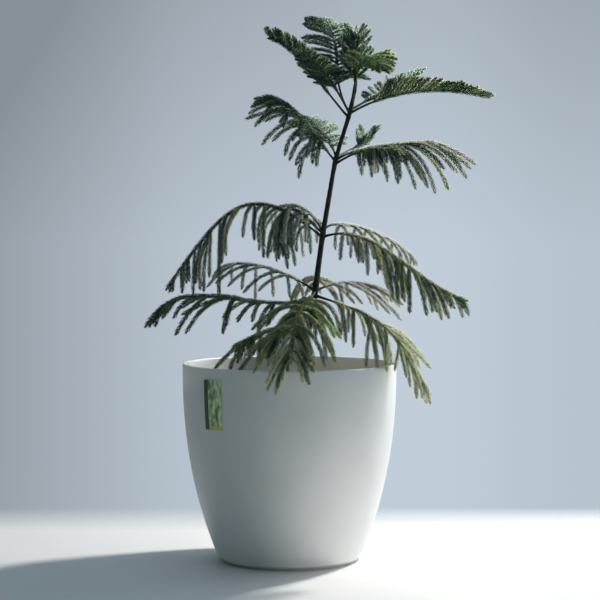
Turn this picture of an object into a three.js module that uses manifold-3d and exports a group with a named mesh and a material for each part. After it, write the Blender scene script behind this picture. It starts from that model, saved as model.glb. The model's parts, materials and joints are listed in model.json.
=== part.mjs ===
// A young Norfolk Island pine, about 0.75 m high, growing in a round planter.
//
// Units are millimetres, +Z is up, and the origin is the centre of the planter's flat underside.
// -Y is the front. The trunk leans to +X and carries four tiers of boughs. Each bough is a bare
// limb that ends where its spray of foliage begins, and a spray is a stem with two rows of twigs,
// each twig a slim three-sided core that needles stand out of.

import * as THREE from "three";
import { mergeVertices } from "three/addons/utils/BufferGeometryUtils.js";
import Module from "manifold-3d";

const wasm = await Module();
wasm.setup();

const DEGREE = Math.PI / 180;
const UP = new THREE.Vector3(0, 0, 1);
const DOWN = new THREE.Vector3(0, 0, -1);
const GAP = 0.3; // air left between two neighbouring pieces
const FRAME_STEPS = 20; // directions worked out along each limb
const SEED = 11;

// Planter
const POT_HEIGHT = 272;
const RIM_RADIUS = 147.5;
const FOOT_RADIUS = 97;
const FOOT_ROUND = 5; // radius of the rounded edge round the foot
const PLINTH = { height: 4, inset: 8 }; // the ring the planter stands on, in from the side
const POT_WALL = 3.6;
const FLOOR_TOP = PLINTH.height + POT_WALL; // of the planter's own floor
const LIP_RADIUS = POT_WALL / 2; // of the rounded top edge
const POT_BELLY = 2.3; // exponent of the curve by which the side turns in towards the foot
const POT_SIDES = 40;
const SIDE_STEPS = 8; // straight steps in the height of the curved outer side
const INNER_STEPS = 4; // and of the inner side
const SOIL_TOP = 242;

// Plain label on the planter's side
const LABEL = { width: 32, height: 66, thickness: 0.8, top: 256, towards: 226.3 };

// Trunk: its centre line runs straight from joint to joint, as [height, x, y]
const TRUNK = [
  [SOIL_TOP + GAP, 13, 0],
  [361, 34, 1],
  [444, 45, 2],
  [551, 63, 2],
  [616, 83, 1],
  [652, 91, 0],
];
const TRUNK_FOOT = TRUNK[0][0];
const TRUNK_TIP = TRUNK[TRUNK.length - 1][0];
const TRUNK_FOOT_RADIUS = 4.6;
const TRUNK_TIP_RADIUS = 2.5;
const TRUNK_SIDES = 8;
const RING_SPACING = 40; // greatest distance between the trunk's rings
const FLARE = { extra: 4.2, height: 9 }; // the root flare's extra radius, and how fast it fades
const FLARE_RINGS = [0, 4, 11, 24]; // heights of the flare's rings above the foot

// Limbs
const BOUGH_SHARE = 0.7; // a bough's radius at its foot, as a share of the trunk's there
const BOUGH_TIP_RADIUS = 1.4; // where the foliage begins
const BOUGH_SIDES = 6;
const BOUGH_STEPS = 3;

// Sprays of foliage
const SPRAY_STEM_RADIUS = 2.3; // the stem is as thick as its own needles make it
const SPRAY_STEM_TIP_RADIUS = 1.2;
const SPRAY_STEM_STEPS = 5;
const SPRAY_STEM_SIDES = 4;
const FIRST_TWIG = 9; // distance of the first twig from the foot of its stem
const LAST_TWIG = 0.97; // share of the stem's length at which the last twig stands
const TWIG_RINGS = [[0, 0.5], [0.45, 2.4], [1, 0]]; // share of length, core's radius
const TWIG_SIDES = 3;
const TWIG_BEND = 0.45; // share of its length at which a twig bends
const TWIG_REACH = 4; // from a twig's centre line to its needle tips
const NEEDLE_SHARE = 0.5; // of the core's sides that are drawn out into needles
const NEEDLES_FROM = 0.2; // share of a twig's length before its first needle
const NEEDLE_OUT = 2.8; // how far a needle's tip stands out of the core
const NEEDLE_ALONG = 6; // and how far forward it points
const TWIG_RODS = 4; // straight rods that stand for a twig where room is looked for,
const BOUGH_RODS = 16; // for a bough with its spray's stem,
const TRUNK_RODS = 36; // and for the trunk
const SHORTENED = [1, 0.78, 0.58, 0.42]; // shares of its length at which a crowded twig is tried

// Tiers, from the top down. bare is the share of a bough that carries no foliage, spacing the
// distance between twigs on one side, twig the length of the longest twigs, inner and outer the
// shares of that length at the trunk's end and at the tip, fullest the share of the way between at
// which they are longest, wide the angles between the stem and its twigs at the two ends, lift the
// angle at which twigs leave the stem upwards, and hang how far their ends turn towards straight
// down at the two ends (0 to 1). A bough may state its own value for any of these.
const TIERS = {
  top: {
    ...{ bare: 0.17, spacing: 17, twig: 48, inner: 0.7, outer: 0.35, fullest: 0.5, wide: [66, 28] },
    ...{ lift: 24, hang: [0.12, 0.12] },
  },
  upper: {
    ...{ bare: 0.1, spacing: 20, twig: 80, inner: 0.45, outer: 0.3, fullest: 0.5, wide: [70, 30] },
    ...{ lift: -12, hang: [0.8, 0.6] },
  },
  middle: {
    ...{ bare: 0.1, spacing: 20, twig: 90, inner: 0.6, outer: 0.1, fullest: 0.5, wide: [70, 30] },
    ...{ lift: -20, hang: [1.1, 0.8] },
  },
  lower: {
    ...{ bare: 0.12, spacing: 20, twig: 78, inner: 0.6, outer: 0.1, fullest: 0.5, wide: [70, 30] },
    ...{ lift: -10, hang: [0.7, 0.55] },
  },
};

// Boughs: the height at which each leaves the trunk, its compass direction in degrees from +X,
// how far its tip lies out from the trunk and above its root, the angles at which it leaves the
// trunk and ends, and the length of its two end handles as a share of its chord.
const BOUGHS = {
  top: {
    left: {
      ...{ height: 610, towards: 190, reach: 110, rise: 105, leaves: 45, ends: 10, bow: 0.25 },
      ...{ bare: 0.25, twig: 33, inner: 1, outer: 0.6, fullest: 0.2, wide: [40, 30], lift: 38 },
      ...{ hang: [0.1, 0.15] },
    },
    front_left: {
      ...{ height: 615, towards: 235, reach: 110, rise: 75, leaves: 45, ends: 25, bow: 0.4 },
      ...{ bare: 0.3, twig: 34, inner: 1, outer: 0.5, fullest: 0.3, wide: [65, 40], lift: 12 },
      ...{ hang: [0.25, 0.35] },
    },
    back: {
      ...{ height: 615, towards: 115, reach: 95, rise: 140, leaves: 40, ends: 20, bow: 0.6 },
      ...{ bare: 0.3, twig: 50, inner: 0.9, outer: 0.4, fullest: 0.4, wide: [75, 45], lift: 8 },
      ...{ hang: [0.35, 0.3] },
    },
    back_right: {
      ...{ height: 620, towards: 40, reach: 130, rise: 60, leaves: 25, ends: 25, bow: 0.5 },
      ...{ twig: 40, lift: 10 },
    },
    right: {
      ...{ height: 615, towards: -10, reach: 190, rise: 20, leaves: 30, ends: -15, bow: 0.35 },
      ...{ twig: 45, inner: 1, outer: 0.3, fullest: 0.15, wide: [60, 30], lift: 28 },
      ...{ hang: [0.12, 0.2] },
    },
    front: {
      ...{ height: 625, towards: -70, reach: 110, rise: 40, leaves: 70, ends: -30, bow: 0.6 },
      ...{ bare: 0.3, twig: 40, outer: 0.3, wide: [55, 30], lift: 6, hang: [0.1, 0.25] },
    },
  },
  upper: {
    left: {
      ...{ height: 550, towards: 205, reach: 100, rise: 85, leaves: 45, ends: 10, bow: 0.35 },
      ...{ spacing: 16, twig: 85, inner: 0.8, outer: 0.35, fullest: 0.35, wide: [54, 20] },
      ...{ lift: -14, hang: [0.8, 0.35] },
    },
    back_left: {
      ...{ height: 555, towards: 120, reach: 80, rise: 60, leaves: 60, ends: 30, bow: 0.35 },
      ...{ twig: 42, inner: 0.8, outer: 0.5, wide: [60, 40], lift: 5, hang: [0.35, 0.3] },
    },
    back_right: {
      ...{ height: 555, towards: 60, reach: 100, rise: 25, leaves: 15, ends: 10, bow: 0.5 },
      ...{ bare: 0.55, twig: 34, wide: [35, 30], lift: 55, hang: [-0.2, -0.2] },
    },
    right: {
      ...{ height: 550, towards: -10, reach: 135, rise: 25, leaves: 40, ends: 5, bow: 0.25 },
      ...{ twig: 90, inner: 0.4, outer: 0.85, fullest: 0.7, wide: [70, 14], lift: -12 },
      ...{ hang: [0.95, 0.4] },
    },
    front_right: {
      ...{ height: 545, towards: -30, reach: 100, rise: 15, leaves: 30, ends: -10, bow: 0.4 },
      ...{ bare: 0.3, twig: 36, inner: 0.9, outer: 0.7, wide: [60, 30], lift: -10 },
      ...{ hang: [0.8, 0.5] },
    },
  },
  middle: {
    left: { height: 445, towards: 190, reach: 215, rise: -70, leaves: 40, ends: -55, bow: 0.6 },
    back_left: { height: 450, towards: 120, reach: 165, rise: 25, leaves: 55, ends: -25, bow: 0.35 },
    back_right: {
      ...{ height: 450, towards: 40, reach: 180, rise: -45, leaves: 80, ends: -70, bow: 0.2 },
      ...{ twig: 70 },
    },
    right: {
      ...{ height: 445, towards: -20, reach: 205, rise: -85, leaves: 20, ends: -15, bow: 0.35 },
      ...{ twig: 75, inner: 0.5, outer: 0.25, fullest: 0.5, wide: [60, 25], hang: [0.8, 0.45] },
    },
    front: {
      ...{ height: 450, towards: 225, reach: 85, rise: -20, leaves: 35, ends: -90, bow: 0.85 },
      ...{ twig: 62, inner: 0.8, outer: 0.5, wide: [45, 25], lift: -30, hang: [1.1, 1.0] },
    },
  },
  lower: {
    back_left: { height: 370, towards: 140, reach: 190, rise: 15, leaves: 35, ends: -70, bow: 0.25 },
    back: { height: 380, towards: 90, reach: 150, rise: -10, leaves: 15, ends: -30, bow: 0.35 },
    back_right: {
      ...{ height: 370, towards: 40, reach: 150, rise: -10, leaves: 25, ends: -30, bow: 0.3 },
      ...{ wide: [45, 25], hang: [0.45, 0.35] },
    },
    left: {
      ...{ height: 360, towards: 195, reach: 235, rise: -35, leaves: -15, ends: -60, bow: 0.4 },
      ...{ twig: 75, wide: [55, 22], hang: [0.65, 0.3] },
    },
    front_left: {
      ...{ height: 355, towards: 225, reach: 150, rise: -55, leaves: -30, ends: -20, bow: 0.6 },
      ...{ twig: 80, wide: [70, 25], hang: [0.55, 0.5] },
    },
    front: {
      ...{ height: 370, towards: 260, reach: 190, rise: -85, leaves: -15, ends: -75, bow: 0.4 },
      ...{ spacing: 16, twig: 75, inner: 0.8, outer: 0.6, wide: [65, 40], hang: [0.8, 0.65] },
    },
    front_right: {
      ...{ height: 365, towards: -30, reach: 175, rise: -130, leaves: -15, ends: -60, bow: 0.5 },
      ...{ twig: 75, inner: 0.9, outer: 0.2, wide: [55, 15], hang: [0.8, 0.2] },
    },
  },
};

// Leader: the shoot above the trunk. Its twigs wind round it at the angle that keeps them apart.
const LEADER = { x: 90, y: 0, top: 725, twigs: 13, twig: 32, lean: 54, turn: 137.5, straightens: 0.3 };

const LEADER_RINGS = [[0, TRUNK_TIP_RADIUS], [0.5, SPRAY_STEM_RADIUS], [1, 0]];

// How far a twig's length and directions vary by chance, either way
const VARIATION = { length: 0.08, angle: 4, hang: 0.08, place: 0.1 };

const COLOURS = {
  pot: [0xd3d6d6, 0.45],
  soil: [0x3b2a1e, 0.95],
  label: [0x4f7a3c, 0.5],
  bark: [0x3f3a28, 0.85],
  foliage: [0x3b5a2c, 0.7],
};

// A source of numbers from 0 to 1 that depends only on the seed.
function makeRandom(seed) {
  let state = seed >>> 0;
  return () => {
    state = (Math.imul(state, 1664525) + 1013904223) >>> 0;
    return state / 2 ** 32;
  };
}

// A number from -size to size.
function vary(random, size) {
  return size * (2 * random() - 1);
}

// A geometry's points and faces, with shared corners merged and empty faces dropped.
function welded(geometry) {
  const bare = geometry.clone();
  bare.deleteAttribute("normal");
  bare.deleteAttribute("uv");
  const merged = mergeVertices(bare, 1e-4);
  const corners = merged.getIndex().array;
  const faces = [];
  for (let i = 0; i < corners.length; i += 3) {
    const face = [corners[i], corners[i + 1], corners[i + 2]];
    if (new Set(face).size === 3) faces.push(face);
  }
  return { points: Array.from(merged.getAttribute("position").array), faces };
}

function solidFrom({ points, faces }) {
  const mesh = new wasm.Mesh({
    numProp: 3,
    vertProperties: new Float32Array(points),
    triVerts: new Uint32Array(faces.flat()),
  });
  return new wasm.Manifold(mesh);
}

function solidOf(geometry) {
  return solidFrom(welded(geometry));
}

function geometryOf(solid) {
  const mesh = solid.getMesh();
  const geometry = new THREE.BufferGeometry();
  geometry.setAttribute("position", new THREE.BufferAttribute(mesh.vertProperties, 3));
  geometry.setIndex(new THREE.BufferAttribute(mesh.triVerts, 1));
  geometry.computeVertexNormals();
  return geometry;
}

// ---- Planter, soil and label

function potRadiusAt(z) {
  const toRim = 1 - z / POT_HEIGHT;
  return RIM_RADIUS - (RIM_RADIUS - FOOT_RADIUS) * Math.pow(toRim, POT_BELLY);
}

function turned(profile) {
  const geometry = new THREE.LatheGeometry(profile, POT_SIDES);
  return solidOf(geometry.rotateX(90 * DEGREE));
}

// The inner side of the pot's wall, from its floor up, as [radius, height] of each ring.
function innerRings() {
  return Array.from({ length: INNER_STEPS + 1 }, (_, i) => {
    const z = THREE.MathUtils.lerp(FLOOR_TOP, POT_HEIGHT - LIP_RADIUS, i / INNER_STEPS);
    return [potRadiusAt(z) - POT_WALL, z];
  });
}

function makePot() {
  const sideFoot = PLINTH.height + FOOT_ROUND;
  const standing = potRadiusAt(sideFoot) - PLINTH.inset;
  const profile = [new THREE.Vector2(0, 0)];
  profile.push(new THREE.Vector2(standing, 0), new THREE.Vector2(standing, PLINTH.height));
  const arc = (x, z, radius, turn) =>
    profile.push(new THREE.Vector2(x + radius * Math.cos(turn), z + radius * Math.sin(turn)));
  for (const turn of [-90, -45]) {
    arc(potRadiusAt(sideFoot) - FOOT_ROUND, sideFoot, FOOT_ROUND, turn * DEGREE);
  }
  const sideTop = POT_HEIGHT - LIP_RADIUS;
  for (let i = 0; i <= SIDE_STEPS; i++) {
    const z = THREE.MathUtils.lerp(sideFoot, sideTop, i / SIDE_STEPS);
    profile.push(new THREE.Vector2(potRadiusAt(z), z));
  }
  for (const turn of [60, 120]) arc(RIM_RADIUS - LIP_RADIUS, sideTop, LIP_RADIUS, turn * DEGREE);
  for (const [radius, z] of innerRings().reverse()) profile.push(new THREE.Vector2(radius, z));
  profile.push(new THREE.Vector2(0, FLOOR_TOP));
  return turned(profile);
}

// The pot's inner side is straight between its rings, so the soil's side is worked out from them.
function makeSoil() {
  const rings = innerRings().filter(([, z]) => z < SOIL_TOP);
  const above = innerRings()[rings.length];
  const below = rings[rings.length - 1];
  const share = (SOIL_TOP - below[1]) / (above[1] - below[1]);
  rings[0] = [rings[0][0], rings[0][1] + GAP];
  rings.push([THREE.MathUtils.lerp(below[0], above[0], share), SOIL_TOP]);
  const profile = rings.map(([radius, z]) => new THREE.Vector2(radius - 2 * GAP, z));
  profile.unshift(new THREE.Vector2(0, rings[0][1]));
  profile.push(new THREE.Vector2(0, SOIL_TOP));
  return turned(profile);
}

// A thin card bent round the planter's side, a hair clear of it.
function makeLabel() {
  const { width, height, thickness, top, towards } = LABEL;
  const geometry = new THREE.BoxGeometry(width, height, thickness, 4, 4, 1);
  const position = geometry.getAttribute("position");
  for (let i = 0; i < position.count; i++) {
    const z = top - height / 2 + position.getY(i);
    const angle = towards * DEGREE + position.getX(i) / RIM_RADIUS;
    const radius = potRadiusAt(z) + GAP + thickness / 2 + position.getZ(i);
    position.setXYZ(i, radius * Math.cos(angle), radius * Math.sin(angle), z);
  }
  return solidOf(geometry);
}

// ---- Limbs

// The trunk's centre and radius at a height.
function trunkAt(z) {
  let i = 0;
  while (i < TRUNK.length - 2 && z > TRUNK[i + 1][0]) i++;
  const [z0, x0, y0] = TRUNK[i];
  const [z1, x1, y1] = TRUNK[i + 1];
  const share = (z - z0) / (z1 - z0);
  const risen = (z - TRUNK_FOOT) / (TRUNK_TIP - TRUNK_FOOT);
  const flare = FLARE.extra * Math.exp(-(z - TRUNK_FOOT) / FLARE.height);
  const { lerp } = THREE.MathUtils;
  return {
    centre: new THREE.Vector3(lerp(x0, x1, share), lerp(y0, y1, share), z),
    radius: lerp(TRUNK_FOOT_RADIUS, TRUNK_TIP_RADIUS, risen) + flare,
  };
}

// A round limb along a curve: a cylinder whose rings are set square to the curve. rings holds
// each ring's share of the curve's length and its radius, and a last radius of 0 is a point.
function limb(curve, rings, sides) {
  const steps = rings.length - 1;
  const pointed = rings[steps][1] === 0;
  const geometry = new THREE.CylinderGeometry(pointed ? 0 : 1, 1, 1, sides, steps);
  const frames = curve.computeFrenetFrames(FRAME_STEPS, false);
  const position = geometry.getAttribute("position");
  for (let i = 0; i < position.count; i++) {
    const [share, radius] = rings[Math.round((position.getY(i) + 0.5) * steps)];
    const frame = Math.round(share * FRAME_STEPS);
    const out = Math.hypot(position.getX(i), position.getZ(i));
    const point = curve.getPointAt(share);
    if (out > 1e-6) {
      point.addScaledVector(frames.normals[frame], (radius * position.getX(i)) / out);
      point.addScaledVector(frames.binormals[frame], (-radius * position.getZ(i)) / out);
    }
    position.setXYZ(i, point.x, point.y, point.z);
  }
  return geometry;
}

// Evenly spaced rings for limb, their radii stated by a function of the share of the length.
function evenRings(steps, radiusAt) {
  return Array.from({ length: steps + 1 }, (_, i) => [i / steps, radiusAt(i / steps)]);
}

// The trunk's rings stay level, so that its foot is cut flat. clearance makes it thicker.
function makeTrunk(clearance = 0) {
  const heights = FLARE_RINGS.map((rise) => TRUNK_FOOT + rise);
  for (const [joint] of TRUNK.slice(1)) {
    const low = heights[heights.length - 1];
    const steps = Math.round((joint - low) / RING_SPACING) || 1;
    for (let k = 1; k <= steps; k++) heights.push(THREE.MathUtils.lerp(low, joint, k / steps));
  }
  const steps = heights.length - 1;
  const geometry = new THREE.CylinderGeometry(1, 1, 1, TRUNK_SIDES, steps).rotateX(90 * DEGREE);
  const position = geometry.getAttribute("position");
  for (let i = 0; i < position.count; i++) {
    const z = heights[Math.round((position.getZ(i) + 0.5) * steps)];
    const { centre, radius } = trunkAt(z);
    const [across, back] = [position.getX(i), position.getY(i)].map((k) => k * (radius + clearance));
    position.setXYZ(i, centre.x + across, centre.y + back, z);
  }
  return solidOf(geometry);
}

// A bough with its foliage follows one bow in an upright plane.
function boughCurve(bough) {
  const root = trunkAt(bough.height).centre;
  const level = new THREE.Vector3(1, 0, 0).applyAxisAngle(UP, bough.towards * DEGREE);
  const at = (out, up) => root.clone().addScaledVector(level, out).addScaledVector(UP, up);
  const handle = bough.bow * Math.hypot(bough.reach, bough.rise);
  const [leaves, ends] = [bough.leaves * DEGREE, bough.ends * DEGREE];
  return new THREE.CubicBezierCurve3(
    root,
    at(handle * Math.cos(leaves), handle * Math.sin(leaves)),
    at(bough.reach - handle * Math.cos(ends), bough.rise - handle * Math.sin(ends)),
    at(bough.reach, bough.rise),
  );
}

// The stretch of a curve from one share of its length to another.
class Stretch extends THREE.Curve {
  constructor(whole, from, to) {
    super();
    Object.assign(this, { whole, from, to });
  }
  getPoint(t, target = new THREE.Vector3()) {
    return this.whole.getPointAt(this.from + (this.to - this.from) * t, target);
  }
}

function makeBough(bough, trunk) {
  const path = new Stretch(bough.curve, 0, bough.bare);
  const footRadius = BOUGH_SHARE * trunkAt(bough.height).radius;
  const radiusAt = (u) => THREE.MathUtils.lerp(footRadius, BOUGH_TIP_RADIUS, Math.sqrt(u));
  const whole = solidOf(limb(path, evenRings(BOUGH_STEPS, radiusAt), BOUGH_SIDES));
  return whole.subtract(trunk);
}

// ---- Room: what is already placed, as short straight rods, so that foliage keeps clear of it

const placed = []; // each { owner, from, to, radius }

function rodsAlong(curve, owner, radius, count) {
  return Array.from({ length: count }, (_, i) => ({
    owner,
    from: curve.getPointAt(i / count),
    to: curve.getPointAt((i + 1) / count),
    radius,
  }));
}

// Shortest distance between two straight rods' centre lines.
function rodDistance(a, b) {
  const [u, v] = [a.to.clone().sub(a.from), b.to.clone().sub(b.from)];
  const w = a.from.clone().sub(b.from);
  const [uu, uv, vv, uw, vw] = [u.dot(u), u.dot(v), v.dot(v), u.dot(w), v.dot(w)];
  const clamp = (x) => Math.min(1, Math.max(0, x));
  const spread = uu * vv - uv * uv;
  let s = spread > 1e-9 ? clamp((uv * vw - vv * uw) / spread) : 0;
  const t = clamp((uv * s + vw) / vv);
  s = clamp((uv * t - uw) / uu);
  return w.addScaledVector(u, s).addScaledVector(v, -t).length();
}

// Whether needles round a point are clear of the planter and the soil.
function clearOfPot(point) {
  const reach = TWIG_REACH + 2 * GAP;
  if (point.z > POT_HEIGHT + reach) return true;
  const out = Math.hypot(point.x, point.y);
  const outer = potRadiusAt(Math.min(point.z, POT_HEIGHT));
  if (out > outer + reach) return true;
  return out < outer - POT_WALL - reach && point.z > SOIL_TOP + reach;
}

function rodFits(rod) {
  if (!clearOfPot(rod.from) || !clearOfPot(rod.to)) return false;
  return placed.every((other) => {
    if (other.owner === rod.owner) return true;
    return rodDistance(rod, other) > rod.radius + other.radius + GAP;
  });
}

// ---- Foliage

// A twig bends from the direction in which it leaves its stem to the one in which it ends.
function twigCurve({ root, leaves, ends, length }, share) {
  const middle = root.clone().addScaledVector(leaves, length * share * TWIG_BEND);
  const tip = middle.clone().addScaledVector(ends, length * share * (1 - TWIG_BEND));
  return new THREE.QuadraticBezierCurve3(root, middle, tip);
}

// A slim core, some of whose sides are drawn out into needles that point forward.
function makeTwig(curve, random) {
  const { points, faces } = welded(limb(curve, TWIG_RINGS, TWIG_SIDES));
  const length = curve.getLength();
  const needled = [];
  for (const face of faces) {
    const [a, b, c] = face.map((k) => new THREE.Vector3().fromArray(points, 3 * k));
    const centre = a.clone().add(b).add(c).divideScalar(3);
    const share = Math.min(1, centre.distanceTo(curve.v0) / length);
    if (share < NEEDLES_FROM || random() > NEEDLE_SHARE) {
      needled.push(face);
      continue;
    }
    const normal = b.sub(a).cross(c.sub(a)).normalize();
    const tip = points.length / 3;
    centre.addScaledVector(normal, NEEDLE_OUT);
    centre.addScaledVector(curve.getTangentAt(share), NEEDLE_ALONG);
    points.push(centre.x, centre.y, centre.z);
    const [i, j, k] = face;
    needled.push([i, j, tip], [j, k, tip], [k, i, tip]);
  }
  return solidFrom({ points, faces: needled });
}

// A point on the straight lengths between a stem's rings, so that a twig's root is sunk in them.
function pointInStem(stem, share) {
  const ring = Math.min(SPRAY_STEM_STEPS - 1, Math.floor(share * SPRAY_STEM_STEPS));
  const [from, to] = [ring, ring + 1].map((k) => stem.getPointAt(k / SPRAY_STEM_STEPS));
  return from.lerp(to, share * SPRAY_STEM_STEPS - ring);
}

// How long a spray's twigs are at a share of the way along it, as a share of the longest.
function swellAt(along, { inner, outer, fullest }) {
  if (along > fullest) return THREE.MathUtils.mapLinear(along, fullest, 1, 1, outer);
  return 1 - (1 - inner) * Math.pow(1 - along / fullest, 2);
}

// Where a spray's twigs stand, how long they are and which way they go.
function twigPlans(bough, stem, random) {
  const length = stem.getLength();
  const first = FIRST_TWIG / length;
  const pairs = Math.round(((LAST_TWIG - first) * length) / bough.spacing);
  const plans = [];
  for (let i = 0; i < pairs; i++) {
    for (const hand of [1, -1]) {
      const along = (i + (hand > 0 ? 0.2 : 0.7) + vary(random, VARIATION.place)) / pairs;
      const share = THREE.MathUtils.lerp(first, LAST_TWIG, along);
      const forward = stem.getTangentAt(share);
      const side = forward.clone().cross(UP).normalize().multiplyScalar(hand);
      const above = UP.clone().addScaledVector(forward, -forward.dot(UP)).normalize();
      const across = (THREE.MathUtils.lerp(...bough.wide, along) + vary(random, VARIATION.angle)) * DEGREE;
      const lift = (bough.lift + vary(random, VARIATION.angle)) * DEGREE;
      const leaves = new THREE.Vector3()
        .addScaledVector(forward, Math.cos(across))
        .addScaledVector(side, Math.sin(across))
        .addScaledVector(above, Math.sin(lift))
        .normalize();
      const hang = THREE.MathUtils.lerp(...bough.hang, along) + vary(random, VARIATION.hang);
      const ends = leaves.clone().lerp(DOWN, hang).normalize();
      const full = bough.twig * (1 + vary(random, VARIATION.length));
      plans.push({ root: pointInStem(stem, share), leaves, ends, length: full * swellAt(along, bough) });
    }
  }
  return plans;
}

// Joins twigs to a stem. One that finds no room is tried shorter, and then left out.
function withTwigs(stem, plans, owner, random) {
  let spray = stem;
  for (const plan of plans) {
    for (const share of SHORTENED) {
      const curve = twigCurve(plan, share);
      const rods = rodsAlong(curve, owner, TWIG_REACH, TWIG_RODS);
      if (!rods.every(rodFits)) continue;
      placed.push(...rods);
      spray = spray.add(makeTwig(curve, random));
      break;
    }
  }
  return spray;
}

function makeSpray(bough, seed) {
  const random = makeRandom(seed);
  const from = bough.bare + GAP / bough.curve.getLength();
  const path = new Stretch(bough.curve, from, 1);
  const radiusAt = (u) => {
    if (u === 0) return BOUGH_TIP_RADIUS;
    return u === 1 ? 0 : THREE.MathUtils.lerp(SPRAY_STEM_RADIUS, SPRAY_STEM_TIP_RADIUS, u);
  };
  const stem = solidOf(limb(path, evenRings(SPRAY_STEM_STEPS, radiusAt), SPRAY_STEM_SIDES));
  return withTwigs(stem, twigPlans(bough, path, random), bough.name, random);
}

function leaderCurve() {
  const foot = trunkAt(TRUNK_TIP).centre.addScaledVector(UP, GAP);
  return new THREE.LineCurve3(foot, new THREE.Vector3(LEADER.x, LEADER.y, LEADER.top));
}

function makeLeader(axis, seed) {
  const random = makeRandom(seed);
  const stem = solidOf(limb(axis, LEADER_RINGS, SPRAY_STEM_SIDES));
  const lean = LEADER.lean * DEGREE;
  const plans = Array.from({ length: LEADER.twigs }, (_, i) => {
    const share = THREE.MathUtils.lerp(0.16, LAST_TWIG, i / LEADER.twigs);
    const leaves = new THREE.Vector3().setFromSphericalCoords(1, lean, i * LEADER.turn * DEGREE);
    leaves.applyAxisAngle(new THREE.Vector3(1, 0, 0), 90 * DEGREE);
    return {
      root: axis.getPointAt(share),
      leaves,
      ends: leaves.clone().lerp(UP, LEADER.straightens).normalize(),
      length: LEADER.twig * (1.1 - 0.4 * share) * (1 + vary(random, VARIATION.length)),
    };
  });
  return withTwigs(stem, plans, "leader", random);
}

// ---- Assembly

const plant = new THREE.Group();

function place(name, solid, finish) {
  const [color, roughness] = COLOURS[finish];
  const material = new THREE.MeshStandardMaterial({ color, roughness, metalness: 0 });
  const mesh = new THREE.Mesh(geometryOf(solid), material);
  mesh.name = name;
  plant.add(mesh);
}

place("pot", makePot(), "pot");
place("soil", makeSoil(), "soil");
place("label", makeLabel(), "label");
place("trunk", makeTrunk(), "bark");

const boughs = Object.entries(BOUGHS).flatMap(([tier, sides]) =>
  Object.entries(sides).map(([side, sizes]) => ({
    name: `${tier}_${side}`,
    ...TIERS[tier],
    ...sizes,
    curve: boughCurve(sizes),
  })),
);
const leader = leaderCurve();

placed.push(...rodsAlong(leader, "leader", SPRAY_STEM_RADIUS, 1));
for (let i = 0; i < TRUNK_RODS; i++) {
  const [from, to] = [i, i + 1].map((k) =>
    trunkAt(THREE.MathUtils.lerp(TRUNK_FOOT, TRUNK_TIP, k / TRUNK_RODS)),
  );
  placed.push({ owner: "trunk", from: from.centre, to: to.centre, radius: from.radius });
}
for (const bough of boughs) {
  placed.push(...rodsAlong(bough.curve, bough.name, SPRAY_STEM_RADIUS, BOUGH_RODS));
}

const trunkRoom = makeTrunk(GAP);
for (const bough of boughs) place(`bough_${bough.name}`, makeBough(bough, trunkRoom), "bark");
boughs.forEach((bough, i) => place(`foliage_${bough.name}`, makeSpray(bough, SEED + i), "foliage"));
place("foliage_leader", makeLeader(leader, SEED + boughs.length), "foliage");

export default plant;
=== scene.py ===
"""The finished surfaces of a young Norfolk Island pine in a round planter.

Lengths are metres, +Z is up, and the origin is the centre of the planter's flat underside. -Y is
the front, and the trunk leans to +X. The boughs have the same sizes as the solids that they stand
for, and their sprays grow by the same rule, carried on here to finer twigs and to every needle.
"""

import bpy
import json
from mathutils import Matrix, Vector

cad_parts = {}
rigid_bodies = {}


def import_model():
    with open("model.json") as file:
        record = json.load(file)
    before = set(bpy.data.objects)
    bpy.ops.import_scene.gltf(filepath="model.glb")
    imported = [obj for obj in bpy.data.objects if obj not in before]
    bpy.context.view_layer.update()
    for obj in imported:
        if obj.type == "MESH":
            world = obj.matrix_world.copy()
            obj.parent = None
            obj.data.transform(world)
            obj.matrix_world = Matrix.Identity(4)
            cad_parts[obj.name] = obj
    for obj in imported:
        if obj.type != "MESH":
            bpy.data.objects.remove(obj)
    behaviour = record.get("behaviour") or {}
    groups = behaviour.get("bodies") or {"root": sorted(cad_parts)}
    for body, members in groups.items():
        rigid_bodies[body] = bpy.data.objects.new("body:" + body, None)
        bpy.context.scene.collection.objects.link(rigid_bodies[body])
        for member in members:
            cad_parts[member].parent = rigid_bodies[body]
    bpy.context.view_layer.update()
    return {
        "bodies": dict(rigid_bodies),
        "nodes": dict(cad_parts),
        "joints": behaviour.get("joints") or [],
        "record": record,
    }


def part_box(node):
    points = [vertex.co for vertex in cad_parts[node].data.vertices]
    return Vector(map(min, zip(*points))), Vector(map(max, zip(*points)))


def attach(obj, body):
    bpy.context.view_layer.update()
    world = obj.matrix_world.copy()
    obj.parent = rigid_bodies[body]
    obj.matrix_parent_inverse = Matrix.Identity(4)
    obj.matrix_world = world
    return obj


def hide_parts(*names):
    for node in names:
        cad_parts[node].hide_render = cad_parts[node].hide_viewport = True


bl_info = {
    "name": "Potted Norfolk Island Pine",
    "version": (1, 0, 0),
    "blender": (4, 5, 0),
    "location": "3D View > Sidebar > Pine",
    "description": "Builds a young Norfolk Island pine, needle by needle, in its planter",
    "category": "Object",
}

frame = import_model()

import json
import math

import bmesh
import bpy
import numpy as np
from bpy.props import FloatProperty, FloatVectorProperty, IntProperty, PointerProperty
from mathutils import Matrix, Vector, noise

MM = 0.001
UP = np.array((0.0, 0.0, 1.0))
DOWN = -UP
GOLDEN_TURN = math.radians(137.5)
SEED = 11
GAP = 0.3 * MM  # air left between two neighbouring pieces

POT_LOW, POT_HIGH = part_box("pot")
SOIL_LOW, SOIL_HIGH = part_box("soil")

# ---- Growth: the sizes and the rule that the trunk, the boughs and their twigs follow

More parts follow.
